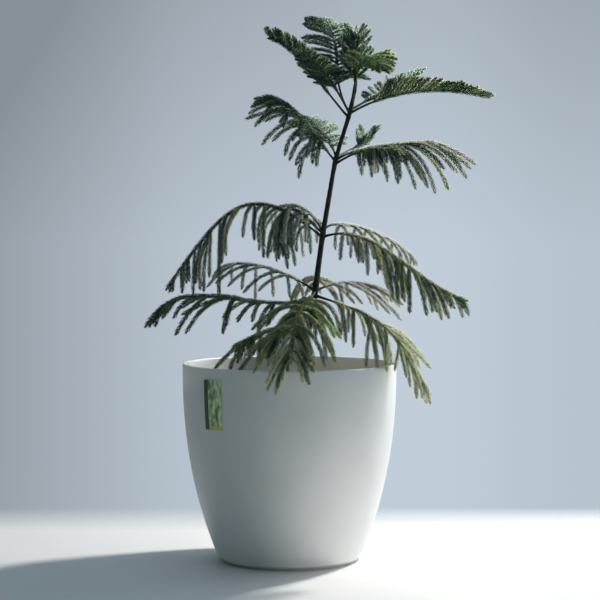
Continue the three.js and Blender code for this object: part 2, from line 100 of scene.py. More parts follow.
# The trunk's centre line, from joint to joint, as (height, x, y)
TRUNK = (
    (SOIL_HIGH.z + GAP, 0.013, 0.0),
    (0.361, 0.034, 0.001),
    (0.444, 0.045, 0.002),
    (0.551, 0.063, 0.002),
    (0.616, 0.083, 0.001),
    (0.652, 0.091, 0.0),
)
TRUNK_FOOT_RADIUS = 4.6 * MM
TRUNK_TIP_RADIUS = 2.5 * MM
FLARE = 4.2 * MM  # extra radius of the root flare,
FLARE_HEIGHT = 9 * MM  # and how fast it fades
BOUGH_SHARE = 0.7  # a bough's radius at its foot, as a share of the trunk's there
BOUGH_TIP_RADIUS = 1.4 * MM  # where the foliage begins

FIRST_TWIG = 9 * MM  # distance of the first twig from the foot of its spray
LAST_TWIG = 0.97  # share of the spray's length at which the last twig stands
TWIG_BEND = 0.45  # share of its length at which a twig bends

# The greens that twigs come in. Of these, dark is painted shade, grey is the painted glow of backlit needles,
# pale is painted sunlight, and olive is partly painted sunlight.
GREENS = ("dark", "deep", "blue", "mid", "olive", "grey", "young", "pale")

# Tiers, from the top down. bare is the share of a bough that carries no foliage, spacing the
# distance between twigs on one side, twig the length of the longest twigs, inner and outer the
# shares of that length at the trunk's end and at the tip, fullest the share of the way between at
# which they are longest, wide the angles between the spray and its twigs at the two ends, lift
# the angle at which twigs leave the spray upwards, hang how far their ends turn towards straight
# down at the two ends (0 to 1), loose how much of the chance below they show, and plump the length
# of their needles against the usual one. A bough states its own values where it differs, and
# shades, the mixture of its greens in parts.
TIERS = {
    "top": dict(
        bare=0.3, twig=0.04, inner=1.0, outer=0.3, fullest=0.5, wide=(66, 28), hang=(0.12, 0.12),
        loose=0.5, plump=1.0,
    ),
    "upper": dict(
        bare=0.1, spacing=0.006, inner=0.8, outer=0.3, fullest=0.5, lift=-12, loose=0.8, plump=1.0,
    ),
    "middle": dict(
        bare=0.1, spacing=0.019, twig=0.09, inner=0.6, outer=0.1, fullest=0.5, wide=(70, 30), lift=-20,
        hang=(1.1, 0.8), loose=2, plump=0.85,
    ),
    "lower": dict(
        bare=0.12, spacing=0.0175, twig=0.078, inner=0.6, outer=0.1, fullest=0.5, wide=(70, 30), lift=-10,
        hang=(0.7, 0.55), loose=1.2, plump=0.85,
    ),
}

# Boughs, by tier and side: the height at which each leaves the trunk, its compass direction in
# degrees from +X, how far its tip lies out from the trunk and above its root, the angles at which it
# leaves the trunk and ends, and the length of its two end handles as a share of its chord.
BOUGHS = {
    "top_left": dict(
        height=0.61, towards=190, reach=0.11, rise=0.105, leaves=45, ends=10, bow=0.25, bare=0.25,
        spacing=0.004, twig=0.033, outer=0.6, fullest=0.2, wide=(40, 30), lift=38, hang=(0.1, 0.15),
        plump=1.05, shades=dict(deep=4, blue=2, mid=4),
    ),
    "top_front_left": dict(
        height=0.615, towards=235, reach=0.11, rise=0.075, leaves=45, ends=25, bow=0.4, spacing=0.005,
        twig=0.034, outer=0.5, fullest=0.3, wide=(65, 40), lift=12, hang=(0.25, 0.35),
        shades=dict(dark=2, deep=4, mid=2),
    ),
    "top_back": dict(
        height=0.615, towards=115, reach=0.095, rise=0.14, leaves=40, ends=20, bow=0.6, spacing=0.006,
        twig=0.05, inner=0.9, outer=0.4, fullest=0.4, wide=(75, 45), lift=8, hang=(0.35, 0.3),
        shades=dict(dark=4, deep=1),
    ),
    "top_back_right": dict(
        height=0.62, towards=40, reach=0.13, rise=0.06, leaves=25, ends=25, bow=0.5, bare=0.17,
        spacing=0.008, inner=0.7, outer=0.35, lift=10, shades=dict(dark=2, deep=1, blue=2),
    ),
    "top_right": dict(
        height=0.615, towards=-10, reach=0.19, rise=0.02, leaves=30, ends=-15, bow=0.35, bare=0.17,
        spacing=0.0055, twig=0.045, fullest=0.15, wide=(60, 30), lift=28, hang=(0.12, 0.2), plump=1.05,
        shades=dict(deep=2, mid=4, olive=3),
    ),
    "top_front": dict(
        height=0.625, towards=-70, reach=0.11, rise=0.04, leaves=70, ends=-30, bow=0.6, spacing=0.0045,
        inner=0.7, wide=(55, 30), lift=6, hang=(0.1, 0.25), shades=dict(mid=5, young=4),
    ),
    "upper_left": dict(
        height=0.55, towards=205, reach=0.1, rise=0.085, leaves=45, ends=10, bow=0.35, spacing=0.008,
        twig=0.085, outer=0.35, fullest=0.35, wide=(54, 20), lift=-14, hang=(0.8, 0.35), loose=1.2,
        plump=1.05, shades=dict(deep=2, blue=5, mid=2),
    ),
    "upper_back_left": dict(
        height=0.555, towards=120, reach=0.08, rise=0.06, leaves=60, ends=30, bow=0.35, twig=0.042,
        outer=0.5, wide=(60, 40), lift=5, hang=(0.35, 0.3), shades=dict(dark=5, blue=1),
    ),
    "upper_back_right": dict(
        height=0.555, towards=60, reach=0.1, rise=0.025, leaves=15, ends=10, bow=0.5, bare=0.55,
        spacing=0.005, twig=0.034, inner=0.45, wide=(35, 30), lift=55, hang=(-0.2, -0.2), plump=1.2,
        shades=dict(dark=2, blue=4),
    ),
    "upper_right": dict(
        height=0.55, towards=-10, reach=0.135, rise=0.025, leaves=40, ends=5, bow=0.25, spacing=0.0075,
        twig=0.09, inner=0.4, outer=0.85, fullest=0.7, wide=(70, 14), hang=(0.95, 0.4), loose=1.2,
        shades=dict(blue=3, olive=1, grey=5),
    ),
    "upper_front_right": dict(
        height=0.545, towards=-30, reach=0.1, rise=0.015, leaves=30, ends=-10, bow=0.4, bare=0.3,
        twig=0.036, inner=0.9, outer=0.7, wide=(60, 30), lift=-10, hang=(0.8, 0.5),
        shades=dict(dark=2, deep=3, blue=3),
    ),
    "middle_left": dict(
        height=0.445, towards=190, reach=0.215, rise=-0.07, leaves=40, ends=-55, bow=0.6, spacing=0.018,
        plump=0.95, shades=dict(deep=6, blue=2, mid=1, olive=1),
    ),
    "middle_back_left": dict(
        height=0.45, towards=120, reach=0.165, rise=0.025, leaves=55, ends=-25, bow=0.35, loose=1.2,
        shades=dict(blue=2, grey=8),
    ),
    "middle_back_right": dict(
        height=0.45, towards=40, reach=0.18, rise=-0.045, leaves=80, ends=-70, bow=0.2, spacing=0.023,
        twig=0.07, loose=1.2, shades=dict(olive=4, grey=6),
    ),
    "middle_right": dict(
        height=0.445, towards=-20, reach=0.205, rise=-0.085, leaves=20, ends=-15, bow=0.35, spacing=0.01,
        twig=0.075, inner=0.5, outer=0.25, wide=(60, 25), hang=(0.8, 0.45), plump=1.05,
        shades=dict(deep=2, blue=2, mid=2, olive=4, grey=1),
    ),
    "middle_front": dict(
        height=0.45, towards=225, reach=0.085, rise=-0.02, leaves=35, ends=-90, bow=0.85, spacing=0.012,
        twig=0.062, inner=0.8, outer=0.5, wide=(45, 25), lift=-30, hang=(1.1, 1.0),
        shades=dict(deep=3, blue=3, mid=1, grey=2),
    ),
    "lower_back_left": dict(
        height=0.37, towards=140, reach=0.19, rise=0.015, leaves=35, ends=-70, bow=0.25, spacing=0.024,
        shades=dict(blue=2, grey=7),
    ),
    "lower_back": dict(
        height=0.38, towards=90, reach=0.15, rise=-0.01, leaves=15, ends=-30, bow=0.35,
        shades=dict(olive=2, grey=6),
    ),
    "lower_back_right": dict(
        height=0.37, towards=40, reach=0.15, rise=-0.01, leaves=25, ends=-30, bow=0.3, spacing=0.02,
        wide=(45, 25), hang=(0.45, 0.35), shades=dict(olive=2, grey=6),
    ),
    "lower_left": dict(
        height=0.36, towards=195, reach=0.235, rise=-0.035, leaves=-15, ends=-60, bow=0.4, spacing=0.0165,
        twig=0.075, wide=(55, 22), hang=(0.65, 0.3), loose=2, plump=1.0,
        shades=dict(deep=3, blue=4, mid=3),
    ),
    "lower_front_left": dict(
        height=0.355, towards=225, reach=0.15, rise=-0.055, leaves=-30, ends=-20, bow=0.6, spacing=0.01,
        twig=0.08, wide=(70, 25), hang=(0.55, 0.5), loose=2.2, plump=1.0,
        shades=dict(deep=1, mid=3, olive=5),
    ),
    "lower_front": dict(
        height=0.37, towards=260, reach=0.19, rise=-0.085, leaves=-15, ends=-75, bow=0.4, spacing=0.0055,
        twig=0.075, inner=0.8, outer=0.6, wide=(65, 40), hang=(0.8, 0.65), loose=2.2, plump=1.0,
        shades=dict(dark=1, deep=2, olive=4, pale=3, young=2),
    ),
    "lower_front_right": dict(
        height=0.365, towards=-30, reach=0.175, rise=-0.13, leaves=-15, ends=-60, bow=0.5, spacing=0.0095,
        twig=0.075, inner=0.9, outer=0.2, wide=(55, 15), hang=(0.8, 0.2), loose=2.2,
        shades=dict(olive=2, pale=7),
    ),
}

# Leader: the shoot above the trunk, up to top. Its twigs start at the share first of its length,
# wind round it at the angle that keeps them apart, lean out from it and straighten towards its tip.
LEADER = dict(
    x=0.09, y=0.0, top=0.725, twigs=36, twig=0.034, first=0.16, inner=1.1, outer=0.7, lean=54,
    straightens=0.3, plump=1.0, shades=dict(dark=2, deep=3, blue=2),
)

# How far a twig's length and directions vary by chance, either way
VARY_LENGTH, VARY_ANGLE, VARY_HANG, VARY_PLACE = 0.16, 10, 0.12, 0.2

CURVE_STEPS = 200  # straight steps by which a curve's length is measured
TWIG_STEPS = 8
TWIG_REACH = 3 * MM  # the room that a twig takes up round its centre line
SHORTENED = (1, 0.78, 0.58, 0.42)  # shares of its length at which a crowded twig is tried
LIMB_STEPS = 60
LIMB_REACH = 2 * MM  # the room that a bough or the leader takes up round its centre line
HANDS = ((1, 0.2), (-1, 0.7))  # the two sides of a spray, and where in each step their twigs stand


def unit(vectors):
    return vectors / np.linalg.norm(vectors, axis=-1, keepdims=True)


def lerp(low, high, share):
    return low + (high - low) * share


class Path:
    """A line through space whose points are found by the share of its length."""

    def __init__(self, points):
        self.points = np.asarray(points, float)
        steps = np.linalg.norm(np.diff(self.points, axis=0), axis=1)
        self.reached = np.concatenate(((0,), np.cumsum(steps)))
        self.length = self.reached[-1]

    def at(self, share):
        place = np.asarray(share) * self.length
        return np.stack([np.interp(place, self.reached, column) for column in self.points.T], axis=-1)

    def heading(self, share, step=0.004):
        share = np.asarray(share)
        return unit(self.at(np.minimum(1, share + step)) - self.at(np.maximum(0, share - step)))

    def part(self, start, end, steps):
        return Path(self.at(np.linspace(start, end, steps + 1)))


def bezier(corners, steps):
    """A Bezier curve of any order, as a Path."""
    order = len(corners) - 1
    t = np.linspace(0, 1, steps + 1)[:, None]
    weights = [math.comb(order, k) * t**k * (1 - t) ** (order - k) for k in range(order + 1)]
    return Path(sum(weight * corner for weight, corner in zip(weights, corners)))


def trunk_centre(z):
    heights, xs, ys = zip(*TRUNK)
    return np.array((np.interp(z, heights, xs), np.interp(z, heights, ys), z))


def trunk_radius(z):
    foot, tip = TRUNK[0][0], TRUNK[-1][0]
    flare = FLARE * math.exp((foot - z) / FLARE_HEIGHT)
    return lerp(TRUNK_FOOT_RADIUS, TRUNK_TIP_RADIUS, (z - foot) / (tip - foot)) + flare


def bough_path(bough):
    root = trunk_centre(bough["height"])
    turn = math.radians(bough["towards"])
    level = np.array((math.cos(turn), math.sin(turn), 0))
    handle = bough["bow"] * math.hypot(bough["reach"], bough["rise"])
    leaves, ends = math.radians(bough["leaves"]), math.radians(bough["ends"])
    out = (0, handle * math.cos(leaves), bough["reach"] - handle * math.cos(ends), bough["reach"])
    rise = (0, handle * math.sin(leaves), bough["rise"] - handle * math.sin(ends), bough["rise"])
    return bezier([root + level * o + UP * r for o, r in zip(out, rise)], CURVE_STEPS)


def all_boughs():
    """Every bough with its name, its tier's values and its path, from the top down."""
    boughs = []
    for name, sizes in BOUGHS.items():
        tier = name.split("_")[0]
        bough = {"name": name, "tier": tier, **TIERS[tier], **sizes}
        boughs.append({**bough, "path": bough_path(bough)})
    return boughs


def swell(along, bough):
    """How long a spray's twigs are at a share of the way along it, as a share of the longest."""
    fullest = bough["fullest"]
    if along > fullest:
        return lerp(1, bough["outer"], (along - fullest) / (1 - fullest))
    return 1 - (1 - bough["inner"]) * (1 - along / fullest) ** 2


def twig_plans(bough, chance):
    """Where a spray's twigs stand, how long they are and which way they go."""

    def vary(size):
        return size * bough["loose"] * chance.uniform(-1, 1)

    spray = bough["path"].part(bough["bare"], 1, CURVE_STEPS)
    first = FIRST_TWIG / spray.length
    pairs = round((LAST_TWIG - first) * spray.length / bough["spacing"])
    plans = []
    for pair in range(pairs):
        for hand, place in HANDS:
            along = (pair + place + vary(VARY_PLACE)) / pairs
            share = lerp(first, LAST_TWIG, along)
            forward = spray.heading(share)
            side = unit(np.cross(forward, UP)) * hand
            above = unit(UP - forward * forward.dot(UP))
            across = math.radians(lerp(*bough["wide"], along) + vary(VARY_ANGLE))
            lift = math.radians(bough["lift"] + vary(VARY_ANGLE))
            leaves = unit(forward * math.cos(across) + side * math.sin(across) + above * math.sin(lift))
            ends = unit(lerp(leaves, DOWN, lerp(*bough["hang"], along) + vary(VARY_HANG)))
            length = bough["twig"] * (1 + vary(VARY_LENGTH)) * swell(along, bough)
            plans.append((spray.at(share), leaves, ends, length))
    return plans


def leader_path():
    foot = trunk_centre(TRUNK[-1][0])
    return Path([foot, (LEADER["x"], LEADER["y"], LEADER["top"])])


def leader_plans(chance):
    axis = leader_path()
    lean = math.radians(LEADER["lean"])
    plans = []
    for i in range(LEADER["twigs"]):
        share = lerp(LEADER["first"], LAST_TWIG, i / LEADER["twigs"])
        turn = i * GOLDEN_TURN
        out = math.sin(lean)
        leaves = np.array((out * math.cos(turn), out * math.sin(turn), math.cos(lean)))
        ends = unit(lerp(leaves, UP, LEADER["straightens"]))
        swelling = lerp(LEADER["inner"], LEADER["outer"], share)
        length = LEADER["twig"] * swelling * (1 + VARY_LENGTH * chance.uniform(-1, 1))
        plans.append((axis.at(share), leaves, ends, length))
    return plans


def twig_path(plan, share):
    root, leaves, ends, length = plan
    middle = root + leaves * length * share * TWIG_BEND
    return bezier([root, middle, middle + ends * length * share * (1 - TWIG_BEND)], TWIG_STEPS)


class Room:
    """What is already placed, as points with radii, so that each twig keeps clear of other boughs."""

    def __init__(self, planter):
        self.planter = planter
        self.points = np.zeros((0, 3))
        self.radii = np.zeros(0)
        self.owners = np.zeros(0, int)

    def fill(self, points, radius, owner):
        self.points = np.concatenate((self.points, points))
        self.radii = np.concatenate((self.radii, np.full(len(points), radius)))
        self.owners = np.concatenate((self.owners, np.full(len(points), owner)))

    def clear_of_pot(self, points, reach):
        out = np.hypot(points[:, 0], points[:, 1])
        wall = np.array([planter_radius(self.planter, z) for z in points[:, 2]])
        above = points[:, 2] > self.planter.height + reach
        outside = out > wall + reach
        inside = (out < wall - self.planter.wall - reach) & (points[:, 2] > SOIL_HIGH.z + reach)
        return bool((above | outside | inside).all())

    def fits(self, points, radius, owner):
        if not self.clear_of_pot(points, radius):
            return False
        others = self.owners != owner
        apart = np.linalg.norm(self.points[others][None] - points[:, None], axis=-1)
        return bool((apart > self.radii[others] + radius).all())


def grown_sprays(planter):
    """Every spray as its name, its own stem and its twigs' paths, each grown clear of the others."""
    boughs = all_boughs()
    room = Room(planter)
    trunk_owner, leader_owner = -1, len(boughs)
    heights = np.arange(TRUNK[0][0], TRUNK[-1][0], 3 * MM)
    room.fill(np.array([trunk_centre(z) for z in heights]), TRUNK_FOOT_RADIUS, trunk_owner)
    room.fill(leader_path().at(np.linspace(0.1, 1, 20)), LIMB_REACH, leader_owner)
    for owner, bough in enumerate(boughs):
        room.fill(bough["path"].at(np.linspace(0, 1, LIMB_STEPS)), LIMB_REACH, owner)
    sprays = [{**bough, "stem": bough["path"].part(bough["bare"], 1, LIMB_STEPS)} for bough in boughs]
    sprays.append({**LEADER, "name": "leader", "tier": "top", "stem": leader_path()})
    for owner, spray in enumerate(sprays):
        chance = np.random.default_rng([SEED, *spray["name"].encode()])
        plans = leader_plans(chance) if owner == leader_owner else twig_plans(spray, chance)
        spray.update(paths=[], chance=chance)
        for plan in plans:
            for share in SHORTENED:
                path = twig_path(plan, share)
                if room.fits(path.points[2:], TWIG_REACH, owner):
                    room.fill(path.points[1:], TWIG_REACH, owner)
                    spray["paths"].append(path)
                    break
    return sprays


# ---- Sizes and colours that a user would change


def number(name, description, default, **limits):
    return FloatProperty(name=name, description=description, default=default, **limits)


def length(name, description, default):
    return number(name, description, default, min=0, unit="LENGTH", precision=4)


def share(name, description, default):
    return number(name, description, default, min=0, max=1, subtype="FACTOR")


def angle(name, description, degrees):
    return number(name, description, math.radians(degrees), subtype="ANGLE")


def power(name, description, default):
    return number(name, description, default, min=0, unit="POWER")


def whole(name, description, default):
    return IntProperty(name=name, description=description, default=default, min=0)


def colour(name, description, default):
    return FloatVectorProperty(
        name=name, description=description, default=default, size=3, min=0, max=1, subtype="COLOR"
    )


class PlanterSettings(bpy.types.PropertyGroup):
    height: length("Height", "From the floor to the top of the rim", POT_HIGH.z)
    rim_radius: length("Rim radius", "Outer radius at the rim", POT_HIGH.x)
    foot_radius: length("Foot radius", "Outer radius where the side would meet the floor", 0.097)
    foot_round: length("Foot rounding", "Radius of the rounded edge round the foot", 0.005)
    plinth: length("Plinth", "Height of the ring the planter stands on", 0.004)
    inset: length("Inset", "How far that ring stands in from the side", 0.008)
    wall: length("Wall", "Thickness of the wall", 0.0036)
    belly: number("Belly", "How late the side turns in towards the foot", 2.3, min=1)
    plastic: colour("Plastic", "Colour of the planter", (0.765, 0.795, 0.785))
    glow: share("Glow", "How much light its wall lets through", 0.6)
    roughness: share("Roughness", "How matt the planter is", 0.42)


class CompostSettings(bpy.types.PropertyGroup):
    mound: length("Mound", "How uneven the surface is", 0.0022)
    crumbs: whole("Crumbs", "Loose crumbs on the surface", 2600)
    crumb: length("Crumb size", "Radius of the largest crumbs", 0.0042)
    perlite: whole("Perlite", "White grains among the crumbs", 130)
    dark: colour("Dark", "Moist compost", (0.022, 0.014, 0.009))
    light: colour("Light", "Drier fibres and bark", (0.105, 0.062, 0.036))


class LabelSettings(bpy.types.PropertyGroup):
    width: length("Width", "Width of the card", 0.032)
    height: length("Height", "Height of the card", 0.066)
    thickness: length("Thickness", "Thickness of the card", 0.0008)
    top: length("Top", "Height of its upper edge above the floor", 0.256)
    towards: angle("Towards", "Compass direction from +X", 226.3)
    face: colour("Face", "Green of the card", (0.36, 0.48, 0.25))
    strip: colour("Strip", "Dark strip along its left edge", (0.03, 0.055, 0.03))
    foot: colour("Foot", "Lighter band along its lower edge", (0.55, 0.66, 0.25))


class BarkSettings(bpy.types.PropertyGroup):
    relief: length("Relief", "How far the leaf scars stand out of the trunk", 0.0004)
    old: colour("Old bark", "Bark of the trunk and the boughs' feet", (0.034, 0.036, 0.024))
    young: colour("Young bark", "Green bark of young shoots", (0.060, 0.085, 0.035))


class FoliageSettings(bpy.types.PropertyGroup):
    needle: length("Needle length", "Length of a full-grown needle", 0.0062)
    needle_width: length("Needle width", "Width of a needle where it is widest", 0.0014)
    pitch: length("Needle pitch", "Distance along a twig from one needle to the next", 0.00028)
    twig_radius: length("Twig radius", "Radius of a twig at its foot", 0.0009)
    glow: share("Glow", "How much light the needles let through", 0.4)
    shine: share("Shine", "How strongly the needles reflect light", 0.25)
    # Painted shade: this dark green stands for the shade on sprays at the back and near the trunk.
    dark: colour("Dark green", "Inner sprays", (0.03, 0.05, 0.042))
    deep: colour("Deep green", "Oldest needles", (0.065, 0.11, 0.08))
    blue: colour("Blue green", "Needles with bloom", (0.12, 0.18, 0.17))
    mid: colour("Mid green", "Most needles", (0.15, 0.23, 0.12))
    # Olive is partly the sprays' own yellower tone and partly painted sunlight on their lit patches.
    olive: colour("Olive", "Ageing sprays", (0.32, 0.34, 0.19))
    # Painted glow: this green stands for light shining through backlit needles, which look pale from their
    # shaded side.
    grey: colour("Grey green", "Backlit sprays", (0.43, 0.43, 0.39))
    young: colour("Young green", "Young sprays", (0.27, 0.38, 0.13))
    # Painted sunlight: pale green stands for twigs lit brightly by the sun, not for a bleached colour.
    pale: colour("Pale green", "Sprays that the sun has lit", (0.68, 0.70, 0.44))


class StageSettings(bpy.types.PropertyGroup):
    distance: length("Camera distance", "From the plant, along Y", 2.410)
    height: length("Camera height", "Height of the camera above the floor", 0.446)
    pitch: angle("Camera pitch", "How far it looks down", 2.08)
    yaw: angle("Camera yaw", "How far it looks to the right", 0.344)
    lens: number("Lens", "Focal length on a sensor 36 mm wide", 104.88, unit="CAMERA")
    floor: colour("Floor", "Pale floor", (0.84, 0.83, 0.82))
    floor_back: length("Floor back", "How far the floor runs behind the plant", 0.45)
    floor_front: number("Floor front", "Where it ends in front", -0.9, unit="LENGTH")
    floor_side: length("Floor side", "How far it runs to each side", 1.2)
    floor_fade: length("Floor fade", "Stretch over which its far edge fades out", 0.22)
    bright: colour("Bright backdrop", "Backdrop low on the right", (0.53, 0.61, 0.69))
    dim: colour("Dim backdrop", "Backdrop high on the left, and overhead", (0.245, 0.283, 0.32))
    shade: colour("Shade", "Room in front of the plant, at the left", (0.035, 0.06, 0.05))
    room: colour("Room", "Room in front of the plant, at the right", (0.09, 0.14, 0.19))
    key: power("Key light", "Soft light from the right and behind", 42)
    fill: power("Fill light", "Large weak light overhead", 7.5)
    bounce: power("Bounce", "Low light near the foot, off the floor", 0.065)
    edge: power("Edge light", "Tall soft light at the right", 5)


SETTINGS = {
    "pine_planter": PlanterSettings,
    "pine_compost": CompostSettings,
    "pine_label": LabelSettings,
    "pine_bark": BarkSettings,
    "pine_foliage": FoliageSettings,
    "pine_stage": StageSettings,
}


# ---- Materials


def fill_in(tree, node, inputs):
    """Fills a node's inputs: another node's socket is linked, and anything else is the constant."""
    for name, given in inputs.items():
        if isinstance(given, bpy.types.NodeSocket):
            tree.links.new(given, node.inputs[name])
        else:
            node.inputs[name].default_value = given


def new_node(tree, kind, inputs, **traits):
    """Adds a shader node with the traits given, and returns its outputs."""
    node = tree.nodes.new(f"ShaderNode{kind}")
    for trait, value in traits.items():
        setattr(node, trait, value)
    fill_in(tree, node, inputs)
    return node.outputs


def spread(tree, value, given, made):
    """A value mapped from one range to another, and held at its ends."""
    ends = {"From Min": given[0], "From Max": given[1], "To Min": made[0], "To Max": made[1]}
    return new_node(tree, "MapRange", {"Value": value, **ends})["Result"]


def blend(tree, share_of_b, a, b):
    """Two colours mixed by a value."""
    return new_node(tree, "Mix", {"Factor": share_of_b, "A": a, "B": b}, data_type="RGBA")["Result"]


def node_group(name, inputs, outputs):
    """An empty shader node group, the sockets of its input node, and its output node."""
    group = bpy.data.node_groups.new(name, "ShaderNodeTree")
    for way, sockets in (("INPUT", inputs), ("OUTPUT", outputs)):
        for socket, kind in sockets.items():
            group.interface.new_socket(socket, in_out=way, socket_type=f"NodeSocket{kind}")
    return group, group.nodes.new("NodeGroupInput").outputs, group.nodes.new("NodeGroupOutput")


def mottle_group():
    """Two colours mixed by soft patches."""
    if "Mottle" in bpy.data.node_groups:
        return bpy.data.node_groups["Mottle"]
    takes = {"Vector": "Vector", "Dark": "Color", "Light": "Color", "Scale": "Float"}
    group, given, out = node_group("Mottle", takes, {"Color": "Color"})
    noise_in = {"Vector": given["Vector"], "Scale": given["Scale"], "Detail": 4}
    patches = new_node(group, "TexNoise", noise_in)["Fac"]
    edged = spread(group, patches, (0.35, 0.65), (0, 1))
    fill_in(group, out, {"Color": blend(group, edged, given["Dark"], given["Light"])})
    return group


def grain_group():
    """A fine grain for bump and roughness: two sizes of noise laid over each other."""
    if "Grain" in bpy.data.node_groups:
        return bpy.data.node_groups["Grain"]
    takes = {"Vector": "Vector", "Scale": "Float", "Low": "Float", "High": "Float"}
    group, given, out = node_group("Grain", takes, {"Height": "Float", "Value": "Float"})
    fine = new_node(
        group, "TexNoise", {"Vector": given["Vector"], "Scale": given["Scale"], "Detail": 3}
    )["Fac"]
    coarser = new_node(group, "Math", {0: given["Scale"], 1: 0.13}, operation="MULTIPLY")[0]
    coarse = new_node(group, "TexNoise", {"Vector": given["Vector"], "Scale": coarser})["Fac"]
    height = new_node(group, "Math", {0: fine, 1: coarse}, operation="ADD")[0]
    value = spread(group, coarse, (0, 1), (given["Low"], given["High"]))
    fill_in(group, out, {"Height": height, "Value": value})
    return group


def refine(material, inputs):
    """Fills inputs of a material's own shader."""
    tree = material.node_tree
    fill_in(tree, tree.nodes["Principled BSDF"], inputs)


def surface(
    name, dark, light, scale, roughness, grain, bump=0.1, depth=0.2 * MM, stretch=(1, 1, 1)
):
    """A matt or satin finish: two colours in patches, and a fine grain in its gloss and relief."""
    material = bpy.data.materials.new(name)
    material.use_nodes = True
    tree = material.node_tree
    place = new_node(tree, "TexCoord", {})["Object"]
    place = new_node(tree, "Mapping", {"Vector": place, "Scale": stretch})["Vector"]
    mottle_in = {"Vector": place, "Dark": (*dark, 1), "Light": (*light, 1), "Scale": scale}
    mottled = new_node(tree, "Group", mottle_in, node_tree=mottle_group())
    grain_in = {"Vector": place, "Scale": grain, "Low": roughness[0], "High": roughness[1]}
    grained = new_node(tree, "Group", grain_in, node_tree=grain_group())
    raised = new_node(
        tree, "Bump", {"Height": grained["Height"], "Strength": bump, "Distance": depth}
    )
    refine(material, {
        "Base Color": mottled["Color"], "Roughness": grained["Value"], "Normal": raised["Normal"],
    })
    return material


def tinted(shade, factor):
    return tuple(min(1, channel * factor) for channel in shade)


def shaded(name, shade, low, high, **finish):
    """A surface whose two colours are a darker and a lighter tone of one shade."""
    return surface(name, tinted(shade, low), tinted(shade, high), **finish)


def let_light_through(material, weight, radius, depth):
    """How much light goes in, how far each colour of it goes in shares of depth, and that depth."""
    refine(material, {
        "Subsurface Weight": weight, "Subsurface Radius": radius, "Subsurface Scale": depth,
    })


# ---- Pieces

ROUND_SEGMENTS = 180  # round the planter and its compost
SAME_PLACE = 1e-6  # corners nearer than this are one


def settings(name):
    return getattr(bpy.context.scene, name)


def piece(name, mesh, materials, slot, *nodes):
    """Makes a mesh a piece of the plant, which stands for the CAD nodes named."""
    for material in materials:
        mesh.materials.append(material)
    obj = bpy.data.objects.new(name, mesh)
    bpy.context.scene.collection.objects.link(obj)
    if nodes:
        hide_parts(*nodes)
    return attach(obj, "root")


def mesh_from(bm, name, smooth=True):
    mesh = bpy.data.meshes.new(name)
    bm.to_mesh(mesh)
    bm.free()
    if smooth:
        mesh.shade_smooth()
    return mesh


class Heap:
    """Corners, triangles and material numbers of the many small things that make up one mesh."""

    def __init__(self):
        self.corners, self.triangles, self.tints, self.total = [], [], [], 0

    def add(self, corners, triangles, tints):
        self.corners.append(corners)
        self.triangles.append(triangles + self.total)
        self.tints.append(np.full(len(triangles), tints))
        self.total += len(corners)

    def mesh(self, name, smooth=False):
        corners, triangles, tints = (
            np.concatenate(parts) for parts in (self.corners, self.triangles, self.tints)
        )
        mesh = bpy.data.meshes.new(name)
        mesh.vertices.add(len(corners))
        mesh.vertices.foreach_set("co", corners.astype(np.float32).ravel())
        mesh.loops.add(triangles.size)
        mesh.loops.foreach_set("vertex_index", triangles.astype(np.int32).ravel())
        mesh.polygons.add(len(triangles))
        mesh.polygons.foreach_set("loop_start", np.arange(0, triangles.size, 3, dtype=np.int32))
        mesh.polygons.foreach_set("material_index", tints.astype(np.int32))
        mesh.update(calc_edges=True)
        if smooth:
            mesh.shade_smooth()
        return mesh


def arc(x, z, radius, start, end, steps):
    """Points of an arc in the (radius, height) plane, its angles in degrees."""
    turns = np.radians(np.linspace(start, end, steps + 1))
    return [(x + radius * math.cos(turn), z + radius * math.sin(turn)) for turn in turns]


def spun(profile):
    """A profile of (radius, height) turned once round the Z axis."""
    bm = bmesh.new()
    points = [bm.verts.new((radius, 0, z)) for radius, z in profile]
    edges = [bm.edges.new(pair) for pair in zip(points, points[1:])]
    axis = dict(axis=(0, 0, 1), cent=(0, 0, 0), angle=math.tau)
    bmesh.ops.spin(bm, geom=points + edges, steps=ROUND_SEGMENTS, use_merge=True, **axis)
    bmesh.ops.remove_doubles(bm, verts=bm.verts, dist=SAME_PLACE)
    bmesh.ops.recalc_face_normals(bm, faces=bm.faces)
    return bm


def planter_radius(planter, z):
    to_rim = min(1, max(0, 1 - z / planter.height))
    return planter.rim_radius - (planter.rim_radius - planter.foot_radius) * to_rim**planter.belly


